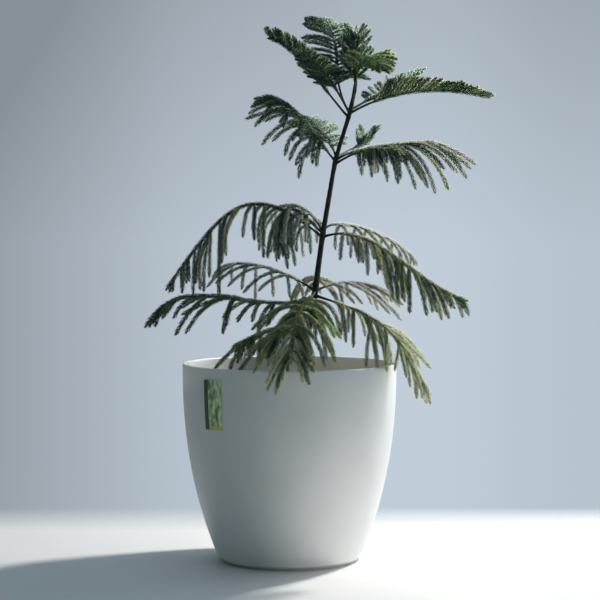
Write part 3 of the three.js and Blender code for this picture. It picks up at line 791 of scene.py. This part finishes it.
class PINE_OT_planter(bpy.types.Operator):
    """Turn the planter: a curved side and a rounded lip, on a low ring round a recessed base"""

    bl_idname = "pine.planter"
    bl_label = "Planter"

    def execute(self, context):
        pot = settings("pine_planter")
        lip = pot.wall / 2
        recess, ring = 1.8 * MM, 7 * MM  # height of the base over the floor, and width of the ring
        side_foot = pot.plinth + pot.foot_round
        standing = planter_radius(pot, side_foot) - pot.inset
        inner_foot = standing - ring
        profile = [(0, recess), (inner_foot - recess, recess)]
        profile += arc(inner_foot, recess, recess, 180, 270, 4)[1:]
        profile += [(standing, 0), (standing, pot.plinth)]
        rounded_from = planter_radius(pot, side_foot) - pot.foot_round
        profile += arc(rounded_from, side_foot, pot.foot_round, -90, 0, 8)
        top = pot.height - lip
        profile += [(planter_radius(pot, z), z) for z in np.linspace(side_foot, top, 60)[1:-1]]
        profile += arc(pot.rim_radius - lip, top, lip, 0, 180, 10)
        floor = pot.plinth + pot.wall
        inside = np.linspace(top, floor + pot.wall, 40)[1:]
        profile += [(planter_radius(pot, z) - pot.wall, z) for z in inside]
        profile += [(planter_radius(pot, floor) - 2 * pot.wall, floor), (0, floor)]
        rough = (pot.roughness - 0.06, pot.roughness + 0.06)
        grain = dict(grain=900, bump=0.12, depth=0.15 * MM)
        plastic = shaded("planter_plastic", pot.plastic, 0.94, 1, scale=9, roughness=rough, **grain)
        let_light_through(plastic, pot.glow, (1.0, 0.92, 0.82), 6 * MM)
        piece("planter", mesh_from(spun(profile), "planter"), [plastic], "pot", "pot")
        return {"FINISHED"}


# The compost's bed. Heights are shares of the setting mound.
WAVES = 45  # waves of unevenness in a metre
HEAP = 1.5  # height of the heap round the trunk
HEAP_WIDTH = 30 * MM  # how fast that heap fades
SUNK = 0.6  # how far the bed lies under its level

# Its crumbs
LUMPS = 6  # shapes that they come in,
DENTED = 0.35  # how far those are from round, as a share of their radius,
FLATTENED = 0.55  # and the least share of its width to which one is pressed flat
SMALLEST = 0.22  # the smallest crumb's share of the largest's size
RAISED = 0.3  # how far a crumb's middle lies above the bed, as a share of its size
STREWN = 0.985  # share of the bed's radius over which they lie
BARK_SHARE = 0.22  # share of the crumbs that are bark
PERLITE_SIZES = (0.9 * MM, 2.1 * MM)


def grains(shapes, places, sizes, chance):
    """Copies of small closed shapes, turned and pressed flat by chance, as corners and triangles."""
    corners, triangles, start = [], [], 0
    for place, size in zip(places, sizes):
        shape, faces = shapes[chance.integers(len(shapes))]
        turn = Matrix.Rotation(chance.uniform(0, math.tau), 3, unit(chance.normal(size=3)))
        pressed = shape * size * chance.uniform(FLATTENED, 1, 3)
        corners.append(pressed @ np.array(turn) + place)
        triangles.append(faces + start)
        start += len(shape)
    return np.concatenate(corners), np.concatenate(triangles)


def lump(chance):
    """A closed rough ball of twenty faces, as corners and triangles."""
    bm = bmesh.new()
    bmesh.ops.create_icosphere(bm, subdivisions=1, radius=1)
    for vert in bm.verts:
        vert.co *= 1 + DENTED * chance.uniform(-1, 1)
    corners = np.array([vert.co for vert in bm.verts])
    faces = np.array([[vert.index for vert in face.verts] for face in bm.faces])
    bm.free()
    return corners, faces


class PINE_OT_compost(bpy.types.Operator):
    """Fill the planter with compost: an uneven bed under loose crumbs, bark and white grains"""

    bl_idname = "pine.compost"
    bl_label = "Compost"

    def height_at(self, x, y, mound):
        """How far the surface lies above the bed's level, highest round the trunk."""
        trunk_x, trunk_y = TRUNK[0][1:]
        heap = HEAP * math.exp(-math.hypot(x - trunk_x, y - trunk_y) / HEAP_WIDTH)
        return mound * (noise.fractal(Vector((x, y, 0)) * WAVES, 1.0, 2.0, 4) + heap - SUNK)

    def execute(self, context):
        pot, soil = settings("pine_planter"), settings("pine_compost")
        inset = pot.wall + 2 * GAP
        moist = dict(scale=160, roughness=(0.85, 1), grain=700, bump=0.9, depth=2 * MM)
        dark = surface("compost", soil.dark, soil.light, **moist)
        chip = dict(roughness=(0.8, 0.95), bump=0.5)
        bark = shaded("bark_chip", soil.light, 1, 1.9, scale=220, grain=500, depth=0.8 * MM, **chip)
        mineral = dict(scale=300, grain=900, depth=0.5 * MM, **chip)
        white = surface("perlite", (0.55, 0.54, 0.50), (0.78, 0.77, 0.73), **mineral)
        piece("compost_bed", self.bed(pot, soil, inset), [dark], "soil", "soil")
        piece("compost_crumbs", self.crumbs(pot, soil, inset), [dark, bark, white], "soil")
        return {"FINISHED"}

    def bed(self, pot, soil, inset):
        """A solid that fills the planter, uneven on top."""
        level = SOIL_HIGH.z
        brim = planter_radius(pot, level) - inset
        profile = [(out, level) for out in np.linspace(0, brim, 70)]
        profile += [(planter_radius(pot, z) - inset, z) for z in np.linspace(level, SOIL_LOW.z, 30)[1:]]
        profile.append((0, SOIL_LOW.z))
        bm = spun(profile)
        for vert in bm.verts:
            if vert.co.z > level - 10 * SAME_PLACE:
                vert.co.z += self.height_at(vert.co.x, vert.co.y, soil.mound)
        return mesh_from(bm, "compost_bed")

    def crumbs(self, pot, soil, inset):
        """Crumbs strewn evenly over the bed: most of them small, some of bark, and the white grains."""
        chance = np.random.default_rng(SEED)
        level = SOIL_HIGH.z
        brim = planter_radius(pot, level) - inset
        count = soil.crumbs + soil.perlite
        out = brim * STREWN * np.sqrt(chance.uniform(0, 1, count))
        turn = chance.uniform(0, math.tau, count)
        x, y = out * np.cos(turn), out * np.sin(turn)
        size = soil.crumb * lerp(SMALLEST, 1, chance.uniform(0, 1, count) ** 3)
        size[soil.crumbs:] = chance.uniform(*PERLITE_SIZES, soil.perlite)
        z = [level + self.height_at(a, b, soil.mound) + RAISED * s for a, b, s in zip(x, y, size)]
        out_of_wall = np.minimum(1, (brim - size) / np.maximum(out, SAME_PLACE))
        places = np.stack((x * out_of_wall, y * out_of_wall, z), axis=-1)
        shapes = [lump(chance) for _ in range(LUMPS)]
        corners, triangles = grains(shapes, places, size, chance)
        kinds = np.where(chance.uniform(size=count) < BARK_SHARE, 1, 0)
        kinds[soil.crumbs:] = 2
        tints = np.repeat(kinds, len(shapes[0][1]))
        heap = Heap()
        heap.add(corners, triangles, tints)
        return heap.mesh("compost_crumbs")


STRIP_SHARE = 0.24  # share of the label's width that its dark strip takes
FOOT_SHARE = 0.1  # share of its height that the band along its foot takes


class PINE_OT_label(bpy.types.Operator):
    """Bend a plain card in three greens round the planter's side"""

    bl_idname = "pine.label"
    bl_label = "Label"

    def execute(self, context):
        pot, card = settings("pine_planter"), settings("pine_label")
        bm = bmesh.new()
        bmesh.ops.create_grid(bm, x_segments=24, y_segments=44, size=0.5)
        for face in bm.faces:
            middle = face.calc_center_median()
            if middle.x + 0.5 < STRIP_SHARE:
                face.material_index = 1
            elif middle.y + 0.5 < FOOT_SHARE:
                face.material_index = 2
        corners = [vert for vert in bm.verts if len(vert.link_edges) == 2]
        rounding = dict(offset=0.02, segments=3, profile=0.5, affect="VERTICES", material=-1)
        bmesh.ops.bevel(bm, geom=corners, **rounding)
        for vert in bm.verts:
            z = card.top + card.height * (vert.co.y - 0.5)
            turn = card.towards + card.width * vert.co.x / pot.rim_radius
            radius = planter_radius(pot, z) + GAP + card.thickness
            vert.co = (radius * math.cos(turn), radius * math.sin(turn), z)
        bmesh.ops.recalc_face_normals(bm, faces=bm.faces)
        outward = sum(face.normal.dot(face.calc_center_median() * Vector((1, 1, 0))) for face in bm.faces)
        if outward < 0:
            bmesh.ops.reverse_faces(bm, faces=bm.faces)
        bmesh.ops.solidify(bm, geom=bm.faces, thickness=card.thickness)
        satin = dict(roughness=(0.38, 0.5), grain=600, bump=0.05)
        finishes = [
            shaded("label_face", card.face, 0.4, 2.0, scale=160, stretch=(1, 1, 0.5), **satin),
            shaded("label_strip", card.strip, 1, 1.8, scale=150, **satin),
            shaded("label_foot", card.foot, 0.85, 1.1, scale=150, **satin),
        ]
        piece("plain_label", mesh_from(bm, "plain_label", smooth=False), finishes, "label", "label")
        return {"FINISHED"}


# ---- Limbs

SCAR_PITCH = 3.4 * MM  # height of a row of leaf scars
PEGS, UNEVEN = 0.6, 0.7  # shares of the scars' pegs and of the noise in the bark's relief
TRUNK_SIDES, BOUGH_SIDES = 28, 12
TRUNK_RING, BOUGH_RING = 1.5 * MM, 2 * MM  # from one ring of corners to the next
ROOTED = 3 * MM  # how far the trunk goes down below its foot
SOFTENED = 15  # rings over which the trunk's bends are rounded
WHORL, WHORL_HEIGHT = 0.5 * MM, 5 * MM  # how far the trunk swells where boughs leave it, and how high
STEM_TIP_RADIUS = 0.45 * MM


def ring_frames(points):
    """Matrices that carry a level ring to each point of a line, turned as little as possible."""
    headings = [Vector(v) for v in unit(np.gradient(points, axis=0))]
    turn = Vector((0, 0, 1)).rotation_difference(headings[0])
    frames = []
    for point, before, heading in zip(points, headings[:1] + headings, headings):
        turn = before.rotation_difference(heading) @ turn
        frames.append(Matrix.Translation(Vector(point)) @ turn.to_matrix().to_4x4())
    return frames


def tube_triangles(rings, sides):
    """Triangles of a tube, closed at both ends, whose corners lie ring after ring."""
    here = np.arange(sides)
    after = (here + 1) % sides
    band = np.concatenate((
        np.stack((here, after, after + sides), axis=1), np.stack((here, after + sides, here + sides), axis=1),
    ))
    bands = band[None] + (np.arange(rings - 1) * sides)[:, None, None]
    fan = np.array([(0, k, k + 1) for k in range(1, sides - 1)])
    return np.concatenate((bands.reshape(-1, 3), fan[:, ::-1], fan + (rings - 1) * sides))


def limb(points, radii, sides, relief, young_from=1.0):
    """Corners, triangles and materials of rings along a line, each corner set out by its relief.

    Beyond the share young_from of the line, the faces take the second material.
    """
    corners = []
    for i, frame in enumerate(ring_frames(points)):
        for turn in np.arange(sides) * math.tau / sides:
            out = radii[i] + relief(i, turn)
            corners.append(frame @ Vector((out * math.cos(turn), out * math.sin(turn), 0)))
    triangles = tube_triangles(len(points), sides)
    young = np.arange(1, len(points)) / (len(points) - 1) > young_from
    tints = np.zeros(len(triangles), int)
    tints[:2 * sides * len(young)] = np.repeat(young, 2 * sides)
    return np.array(corners), triangles, tints


def scars(height, reached, radii, shift):
    """Relief of old leaf scars: a lattice of low pegs wound round a limb, broken up by noise.

    reached is how far along the limb each ring stands, and shift sets the noise apart from others'.
    """

    def relief(i, turn):
        along = reached[i] / SCAR_PITCH
        peg = math.cos(math.pi * along + 3 * turn) * math.cos(math.pi * along - 2 * turn)
        place = Vector((math.cos(turn) * 1.6, math.sin(turn) * 1.6, along * 0.7 + shift))
        rough = PEGS * max(0, peg) + UNEVEN * noise.noise(place)
        return height * rough * min(1, radii[i] / TRUNK_TIP_RADIUS)

    return relief


def bark_material(name, shade):
    finish = dict(scale=190, stretch=(1, 1, 0.3), roughness=(0.72, 0.9), grain=900, bump=0.6, depth=0.6 * MM)
    return shaded(name, shade, 0.55, 1.5, **finish)


class PINE_OT_trunk(bpy.types.Operator):
    """Grow the trunk, with its root flare, swollen whorls and leaf scars"""

    bl_idname = "pine.trunk"
    bl_label = "Trunk"

    def execute(self, context):
        bark = settings("pine_bark")
        heights = np.arange(TRUNK[0][0] - ROOTED, TRUNK[-1][0] + 1 * MM, TRUNK_RING)
        centres = np.array([trunk_centre(z) for z in heights])
        centres[:, 2] = heights
        soften = np.ones(SOFTENED) / SOFTENED
        for k in range(2):
            padded = np.pad(centres[:, k], SOFTENED // 2, mode="edge")
            centres[:, k] = np.convolve(padded, soften, mode="valid")
        whorls = [bough["height"] for bough in all_boughs()]
        radii = []
        for z in heights:
            swollen = max(math.exp(-(((z - whorl) / WHORL_HEIGHT) ** 2)) for whorl in whorls)
            radii.append(trunk_radius(max(z, TRUNK[0][0])) + WHORL * swollen)
        heap = Heap()
        heap.add(*limb(centres, radii, TRUNK_SIDES, scars(bark.relief, heights - heights[0], radii, 0)))
        finish = bark_material("trunk_bark", bark.old)
        piece("trunk_limb", heap.mesh("trunk_limb", smooth=True), [finish], "bark", "trunk")
        return {"FINISHED"}


def bough_radius(bough, along):
    """A bough's radius at a share of its length: limb up to its foliage, then the spray's stem."""
    foot = BOUGH_SHARE * trunk_radius(bough["height"])
    if along < bough["bare"]:
        return lerp(foot, BOUGH_TIP_RADIUS, math.sqrt(along / bough["bare"]))
    return lerp(BOUGH_TIP_RADIUS, STEM_TIP_RADIUS, (along - bough["bare"]) / (1 - bough["bare"]))


class PINE_OT_boughs(bpy.types.Operator):
    """Grow the boughs, each from the trunk through its spray to the tip"""

    bl_idname = "pine.boughs"
    bl_label = "Boughs"

    def execute(self, context):
        bark = settings("pine_bark")
        old = bark_material("bough_bark", bark.old)
        finish = dict(scale=150, roughness=(0.55, 0.75), grain=800, bump=0.4, depth=0.4 * MM)
        young = shaded("young_bark", bark.young, 0.7, 1.3, **finish)
        boughs = all_boughs()
        for tier in TIERS:
            heap = Heap()
            members = [bough for bough in boughs if bough["tier"] == tier]
            for place, bough in enumerate(members):
                steps = round(bough["path"].length / BOUGH_RING)
                along = np.linspace(0, 1, steps + 1)
                radii = [bough_radius(bough, a) for a in along]
                relief = scars(0.25 * MM, along * bough["path"].length, radii, 9.7 * place)
                heap.add(*limb(bough["path"].at(along), radii, BOUGH_SIDES, relief, bough["bare"]))
            nodes = [f"bough_{bough['name']}" for bough in members]
            piece(f"limbs_{tier}", heap.mesh(f"limbs_{tier}", smooth=True), [old, young], "bark", *nodes)
        return {"FINISHED"}


# ---- Foliage

TWIG_SIDES = 5
TWIG_TIP = 0.35  # a twig's radius at its tip, as a share of that at its foot
TWIG_BARE = 0.04  # share of a twig at its foot without needles
STEM_NEEDLES = 1.2 * MM  # radius of a spray's stem as its needles stand round it


def around(headings, turns):
    """Directions square to each heading, at the turns given round it."""
    aside = unit(np.cross(headings, np.where(np.abs(headings[:, 2:]) < 0.9, UP, (1.0, 0, 0))))
    other = np.cross(headings, aside)
    return aside * np.cos(turns)[:, None] + other * np.sin(turns)[:, None]


# A needle: its foot, three corners where it is widest, and its tip
NEEDLE_FACES = np.array([(0, 1, 2), (0, 2, 3), (0, 3, 1), (4, 2, 1), (4, 3, 2), (4, 1, 3)])
NEEDLE_CORNERS = 5
WIDEST = 0.36  # share of its length at which it is widest and bends
RIDGE = 0.6  # height of its ridge, as a share of half its width,
KEEL = 0.35  # and how far its two edges lie under its middle
LEAVES, BENDS = math.radians(56), math.radians(24)  # its angle to its twig, at its foot and its tip
RISE = 0.12  # how far needles turn upwards
SUNKEN = 0.3  # how far out of its twig's middle a needle starts, as a share of the twig's radius
VARY_NEEDLE, VARY_WIDTH = (0.8, 1.15), (0.85, 1.15)  # ranges of needles' lengths and widths
VARY_LEAVES, VARY_BENDS = 0.12, 0.1  # how far their angles vary, in radians
# Needles are shorter towards a twig's two ends, over the stretch SHORTER, and close up at its tip.
SHORT_AT_TIP, SHORT_AT_FOOT, SHORTER = 0.7, 0.5, 12 * MM
CLOSED, CLOSING = 0.6, 5 * MM


def needles_along(path, start, foliage, chance, radius, plump):
    """Needles wound round a twig: bent forward, shorter at both ends, pointed like an awl."""
    count = int((1 - start) * path.length / foliage.pitch)
    if count < 4:
        return np.zeros((0, 3)), np.zeros((0, 3), int)
    share_along = lerp(start, 1, (np.arange(count) + chance.uniform(0, 1, count)) / count)
    foot = path.at(share_along)
    forward = path.heading(share_along, step=0.02)
    turns = np.arange(count) * GOLDEN_TURN + chance.uniform(-0.5, 0.5, count) + chance.uniform(0, 6)
    out = around(forward, turns)
    to_tip = (1 - share_along) * path.length
    from_foot = (share_along - start) * path.length
    at_tip = np.minimum(1, SHORT_AT_TIP + to_tip / SHORTER)
    grown = at_tip * np.minimum(1, SHORT_AT_FOOT + from_foot / SHORTER)
    long = (foliage.needle * plump * grown * chance.uniform(*VARY_NEEDLE, count))[:, None]
    opened = 1 - np.clip(1 - to_tip / CLOSING, 0, CLOSED)
    leaves = (LEAVES * opened + chance.normal(0, VARY_LEAVES, count))[:, None]
    bends = (BENDS * opened + chance.normal(0, VARY_BENDS, count))[:, None]
    first = unit(forward * np.cos(leaves) + out * np.sin(leaves) + RISE * UP)
    second = unit(forward * np.cos(bends) + out * np.sin(bends) + RISE * UP)
    base = foot + out * radius * SUNKEN
    middle = base + first * long * WIDEST
    tip = middle + second * long * (1 - WIDEST)
    across = unit(np.cross(first, out))
    thick = unit(np.cross(across, first))
    half = foliage.needle_width / 2 * chance.uniform(*VARY_WIDTH, count)[:, None]
    edges = [middle + (side * across - thick * KEEL) * half for side in (1, -1)]
    corners = np.stack([base, middle + thick * half * RIDGE, *edges, tip], axis=1).reshape(-1, 3)
    starts = np.arange(count) * NEEDLE_CORNERS
    faces = (NEEDLE_FACES[None] + starts[:, None, None]).reshape(-1, 3)
    return corners, faces


def twig_tube(path, radius):
    """A slim tapering tube round a path, closed at its tip and its foot."""
    points = path.points
    headings = unit(np.gradient(points, axis=0))
    radii = (radius * np.linspace(1, TWIG_TIP, len(points)))[:, None]
    turns = np.arange(TWIG_SIDES) * math.tau / TWIG_SIDES
    rings = [points + around(headings, np.full(len(points), turn)) * radii for turn in turns]
    corners = np.stack(rings, axis=1).reshape(-1, 3)
    return corners, tube_triangles(len(points), TWIG_SIDES)


class PINE_OT_foliage(bpy.types.Operator):
    """Grow every spray: twigs in two rows along its stem, and needles wound round them all"""

    bl_idname = "pine.foliage"
    bl_label = "Foliage"

    def execute(self, context):
        foliage, bark = settings("pine_foliage"), settings("pine_bark")
        finish = dict(scale=90, roughness=(0.6, 0.75), grain=500, bump=0.0)
        greens = []
        for name in GREENS:
            green = shaded(f"needles_{name}", getattr(foliage, name), 0.8, 1.25, **finish)
            let_light_through(green, foliage.glow, (0.8, 1.0, 0.5), 3 * MM)
            refine(green, {"Specular IOR Level": foliage.shine})
            greens.append(green)
        finish = dict(scale=200, roughness=(0.5, 0.7), grain=700, bump=0.2)
        shoot = shaded("green_shoot", bark.young, 0.8, 1.3, **finish)
        stems = {tier: Heap() for tier in TIERS}
        for spray in grown_sprays(settings("pine_planter")):
            name, stem, chance, plump = (spray[key] for key in ("name", "stem", "chance", "plump"))
            # The mixture of greens for this spray; its dark, grey, pale and part of its olive are painted
            # shade, glow and sunlight.
            odds = np.array([spray["shades"].get(green, 0) for green in GREENS], float)
            needles, twigs = Heap(), stems[spray["tier"]]
            along_stem = needles_along(stem, 0, foliage, chance, STEM_NEEDLES, plump)
            needles.add(*along_stem, int(odds.argmax()))
            if name == "leader":
                twigs.add(*twig_tube(stem.part(0, 1, 12), TRUNK_TIP_RADIUS), 0)
            for path in spray["paths"]:
                twigs.add(*twig_tube(path, foliage.twig_radius), 0)
                tint = int(chance.choice(len(GREENS), p=odds / odds.sum()))
                along = needles_along(path, TWIG_BARE, foliage, chance, foliage.twig_radius, plump)
                needles.add(*along, tint)
            piece(f"needles_{name}", needles.mesh(f"needles_{name}"), greens, "foliage", f"foliage_{name}")
        for tier, heap in stems.items():
            piece(f"twigs_{tier}", heap.mesh(f"twigs_{tier}"), [shoot], "foliage")
        return {"FINISHED"}


# ---- Stage

SENSOR_WIDTH = 36  # millimetres, as the camera has it

# How bright the backdrop is from left to right: the X part of the direction, and the share of bright
BACKDROP = (
    (-0.5, 0.0), (-0.17, 0.2), (-0.08, 0.67), (0.02, 0.93), (0.08, 1.0), (0.17, 0.8), (0.35, 1.0), (0.5, 1.0),
)

# The soft lights. Their powers are among the stage's settings.
LIGHTS = {
    "key": dict(tint=(1.0, 0.97, 0.93), place=(1.05, 0.74, 1.4), target=(0.0, 0.0, 0.2), size=0.2),
    "edge": dict(tint=(0.95, 0.98, 1.0), place=(1.5, 0.75, 0.45), target=(0.0, 0.0, 0.25), size=0.7),
    "fill": dict(tint=(0.62, 0.84, 1.0), place=(0.1, 0.0, 2.3), target=(0.0, 0.0, 0.0), size=1.8),
    "bounce": dict(
        tint=(1.0, 0.86, 0.8), place=(0.3, -0.3, 0.085), target=(0.05, -0.05, 0.03), size=0.16, spread=100
    ),
}


def add_to_stage(name, data, place=(0, 0, 0), turned=(0, 0, 0)):
    """Puts a camera, a light or a mesh into the scene."""
    obj = bpy.data.objects.new(name, data)
    obj.location = place
    obj.rotation_euler = turned
    bpy.context.scene.collection.objects.link(obj)
    return obj


def area_light(name, energy, tint, place, target, size, spread=180):
    """A round light that shines from a place towards a target, and that the camera doesn't see."""
    light = bpy.data.lights.new(name, "AREA")
    light.shape = "DISK"
    light.size = size
    light.energy = energy
    light.color = tint
    light.spread = math.radians(spread)
    turned = (Vector(target) - Vector(place)).to_track_quat("-Z", "Y").to_euler()
    add_to_stage(name, light, place, turned).visible_camera = False


class PINE_OT_stage(bpy.types.Operator):
    """Set out the pale floor, the backdrop, the lights and the camera"""

    bl_idname = "pine.stage"
    bl_label = "Stage"

    def execute(self, context):
        stage = settings("pine_stage")
        self.lay_floor(stage)
        self.light_room(context.scene, stage)
        camera = bpy.data.cameras.new("camera")
        camera.lens = stage.lens
        camera.sensor_width = SENSOR_WIDTH
        place = (0, -stage.distance, stage.height)
        turned = (math.radians(90) - stage.pitch, 0, -stage.yaw)
        context.scene.camera = add_to_stage("camera", camera, place, turned)
        return {"FINISHED"}

    def lay_floor(self, stage):
        """A floor that fades into the backdrop over its last stretch, as a far edge out of focus does."""
        bm = bmesh.new()
        bmesh.ops.create_grid(bm, x_segments=1, y_segments=1, size=0.5)
        depth = stage.floor_back - stage.floor_front
        bmesh.ops.scale(bm, verts=bm.verts, vec=(2 * stage.floor_side, depth, 1))
        bmesh.ops.translate(bm, verts=bm.verts, vec=(0, stage.floor_back - depth / 2, 0))
        finish = dict(scale=3, roughness=(0.5, 0.6), grain=300, bump=0.02)
        material = shaded("floor", stage.floor, 0.98, 1, **finish)
        tree = material.node_tree
        place = new_node(tree, "TexCoord", {})["Object"]
        back = new_node(tree, "SeparateXYZ", {"Vector": place})["Y"]
        fading = (stage.floor_back - stage.floor_fade, stage.floor_back)
        refine(material, {"Alpha": spread(tree, back, fading, (1, 0))})
        floor = add_to_stage("floor", mesh_from(bm, "floor"))
        floor.data.materials.append(material)

    def light_room(self, scene, stage):
        """A pale backdrop behind the plant, a dim room in front of it, and the lights."""
        scene.view_settings.view_transform = "Standard"
        scene.world = bpy.data.worlds.new("studio")
        scene.world.use_nodes = True
        tree = scene.world.node_tree
        place = new_node(tree, "TexCoord", {})["Generated"]
        towards = new_node(tree, "SeparateXYZ", {"Vector": place})
        # The backdrop: its brightness from left to right, less what it loses upwards from the horizon
        across = spread(tree, towards["X"], (-0.5, 0.5), (0, 1))
        sideways = new_node(tree, "ValToRGB", {"Fac": across})["Color"]
        ramp = sideways.node.color_ramp
        ramp.interpolation = "CARDINAL"
        while len(ramp.elements) < len(BACKDROP):
            ramp.elements.new(0.5)
        for stop, (direction, share_of_bright) in zip(ramp.elements, BACKDROP):
            stop.position = direction + 0.5
            stop.color = (*[share_of_bright] * 3, 1)
        upwards = spread(tree, towards["Z"], (-0.005, 0.5), (0, -1.6))
        sum_of_both = {0: sideways, 1: upwards}
        brightness = new_node(tree, "Math", sum_of_both, operation="ADD", use_clamp=True)[0]
        backdrop = blend(tree, brightness, (*stage.dim, 1), (*stage.bright, 1))
        # The room, from left to right, and where the two meet
        rightwards = spread(tree, towards["X"], (-0.6, 0.6), (0, 1))
        room = blend(tree, rightwards, (*stage.shade, 1), (*stage.room, 1))
        behind = spread(tree, towards["Y"], (-0.4, 0.8), (0, 1))
        fill_in(tree, tree.nodes["Background"], {"Color": blend(tree, behind, room, backdrop)})
        for name, light in LIGHTS.items():
            area_light(name, getattr(stage, name), **light)


class VIEW3D_PT_pine(bpy.types.Panel):
    """Sizes, colours and steps of the potted pine"""

    bl_label = "Potted pine"
    bl_idname = "VIEW3D_PT_pine"
    bl_space_type = "VIEW_3D"
    bl_region_type = "UI"
    bl_category = "Pine"

    def draw(self, context):
        for name, group in SETTINGS.items():
            box = self.layout.box()
            box.label(text=name.replace("pine_", "").capitalize())
            for field in group.__annotations__:
                box.prop(getattr(context.scene, name), field)
        for operator in OPERATORS:
            self.layout.operator(operator.bl_idname)


OPERATORS = (
    PINE_OT_stage,
    PINE_OT_planter,
    PINE_OT_compost,
    PINE_OT_label,
    PINE_OT_trunk,
    PINE_OT_boughs,
    PINE_OT_foliage,
)


def register():
    for cls in (*SETTINGS.values(), *OPERATORS, VIEW3D_PT_pine):
        bpy.utils.register_class(cls)
    for name, group in SETTINGS.items():
        setattr(bpy.types.Scene, name, PointerProperty(type=group))


def unregister():
    for name in SETTINGS:
        delattr(bpy.types.Scene, name)
    for cls in reversed((*SETTINGS.values(), *OPERATORS, VIEW3D_PT_pine)):
        bpy.utils.unregister_class(cls)


def main():
    register()
    bpy.ops.pine.stage()
    bpy.ops.pine.planter()
    bpy.ops.pine.compost()
    bpy.ops.pine.label()
    bpy.ops.pine.trunk()
    bpy.ops.pine.boughs()
    bpy.ops.pine.foliage()


if __name__ == "__main__":
    main()
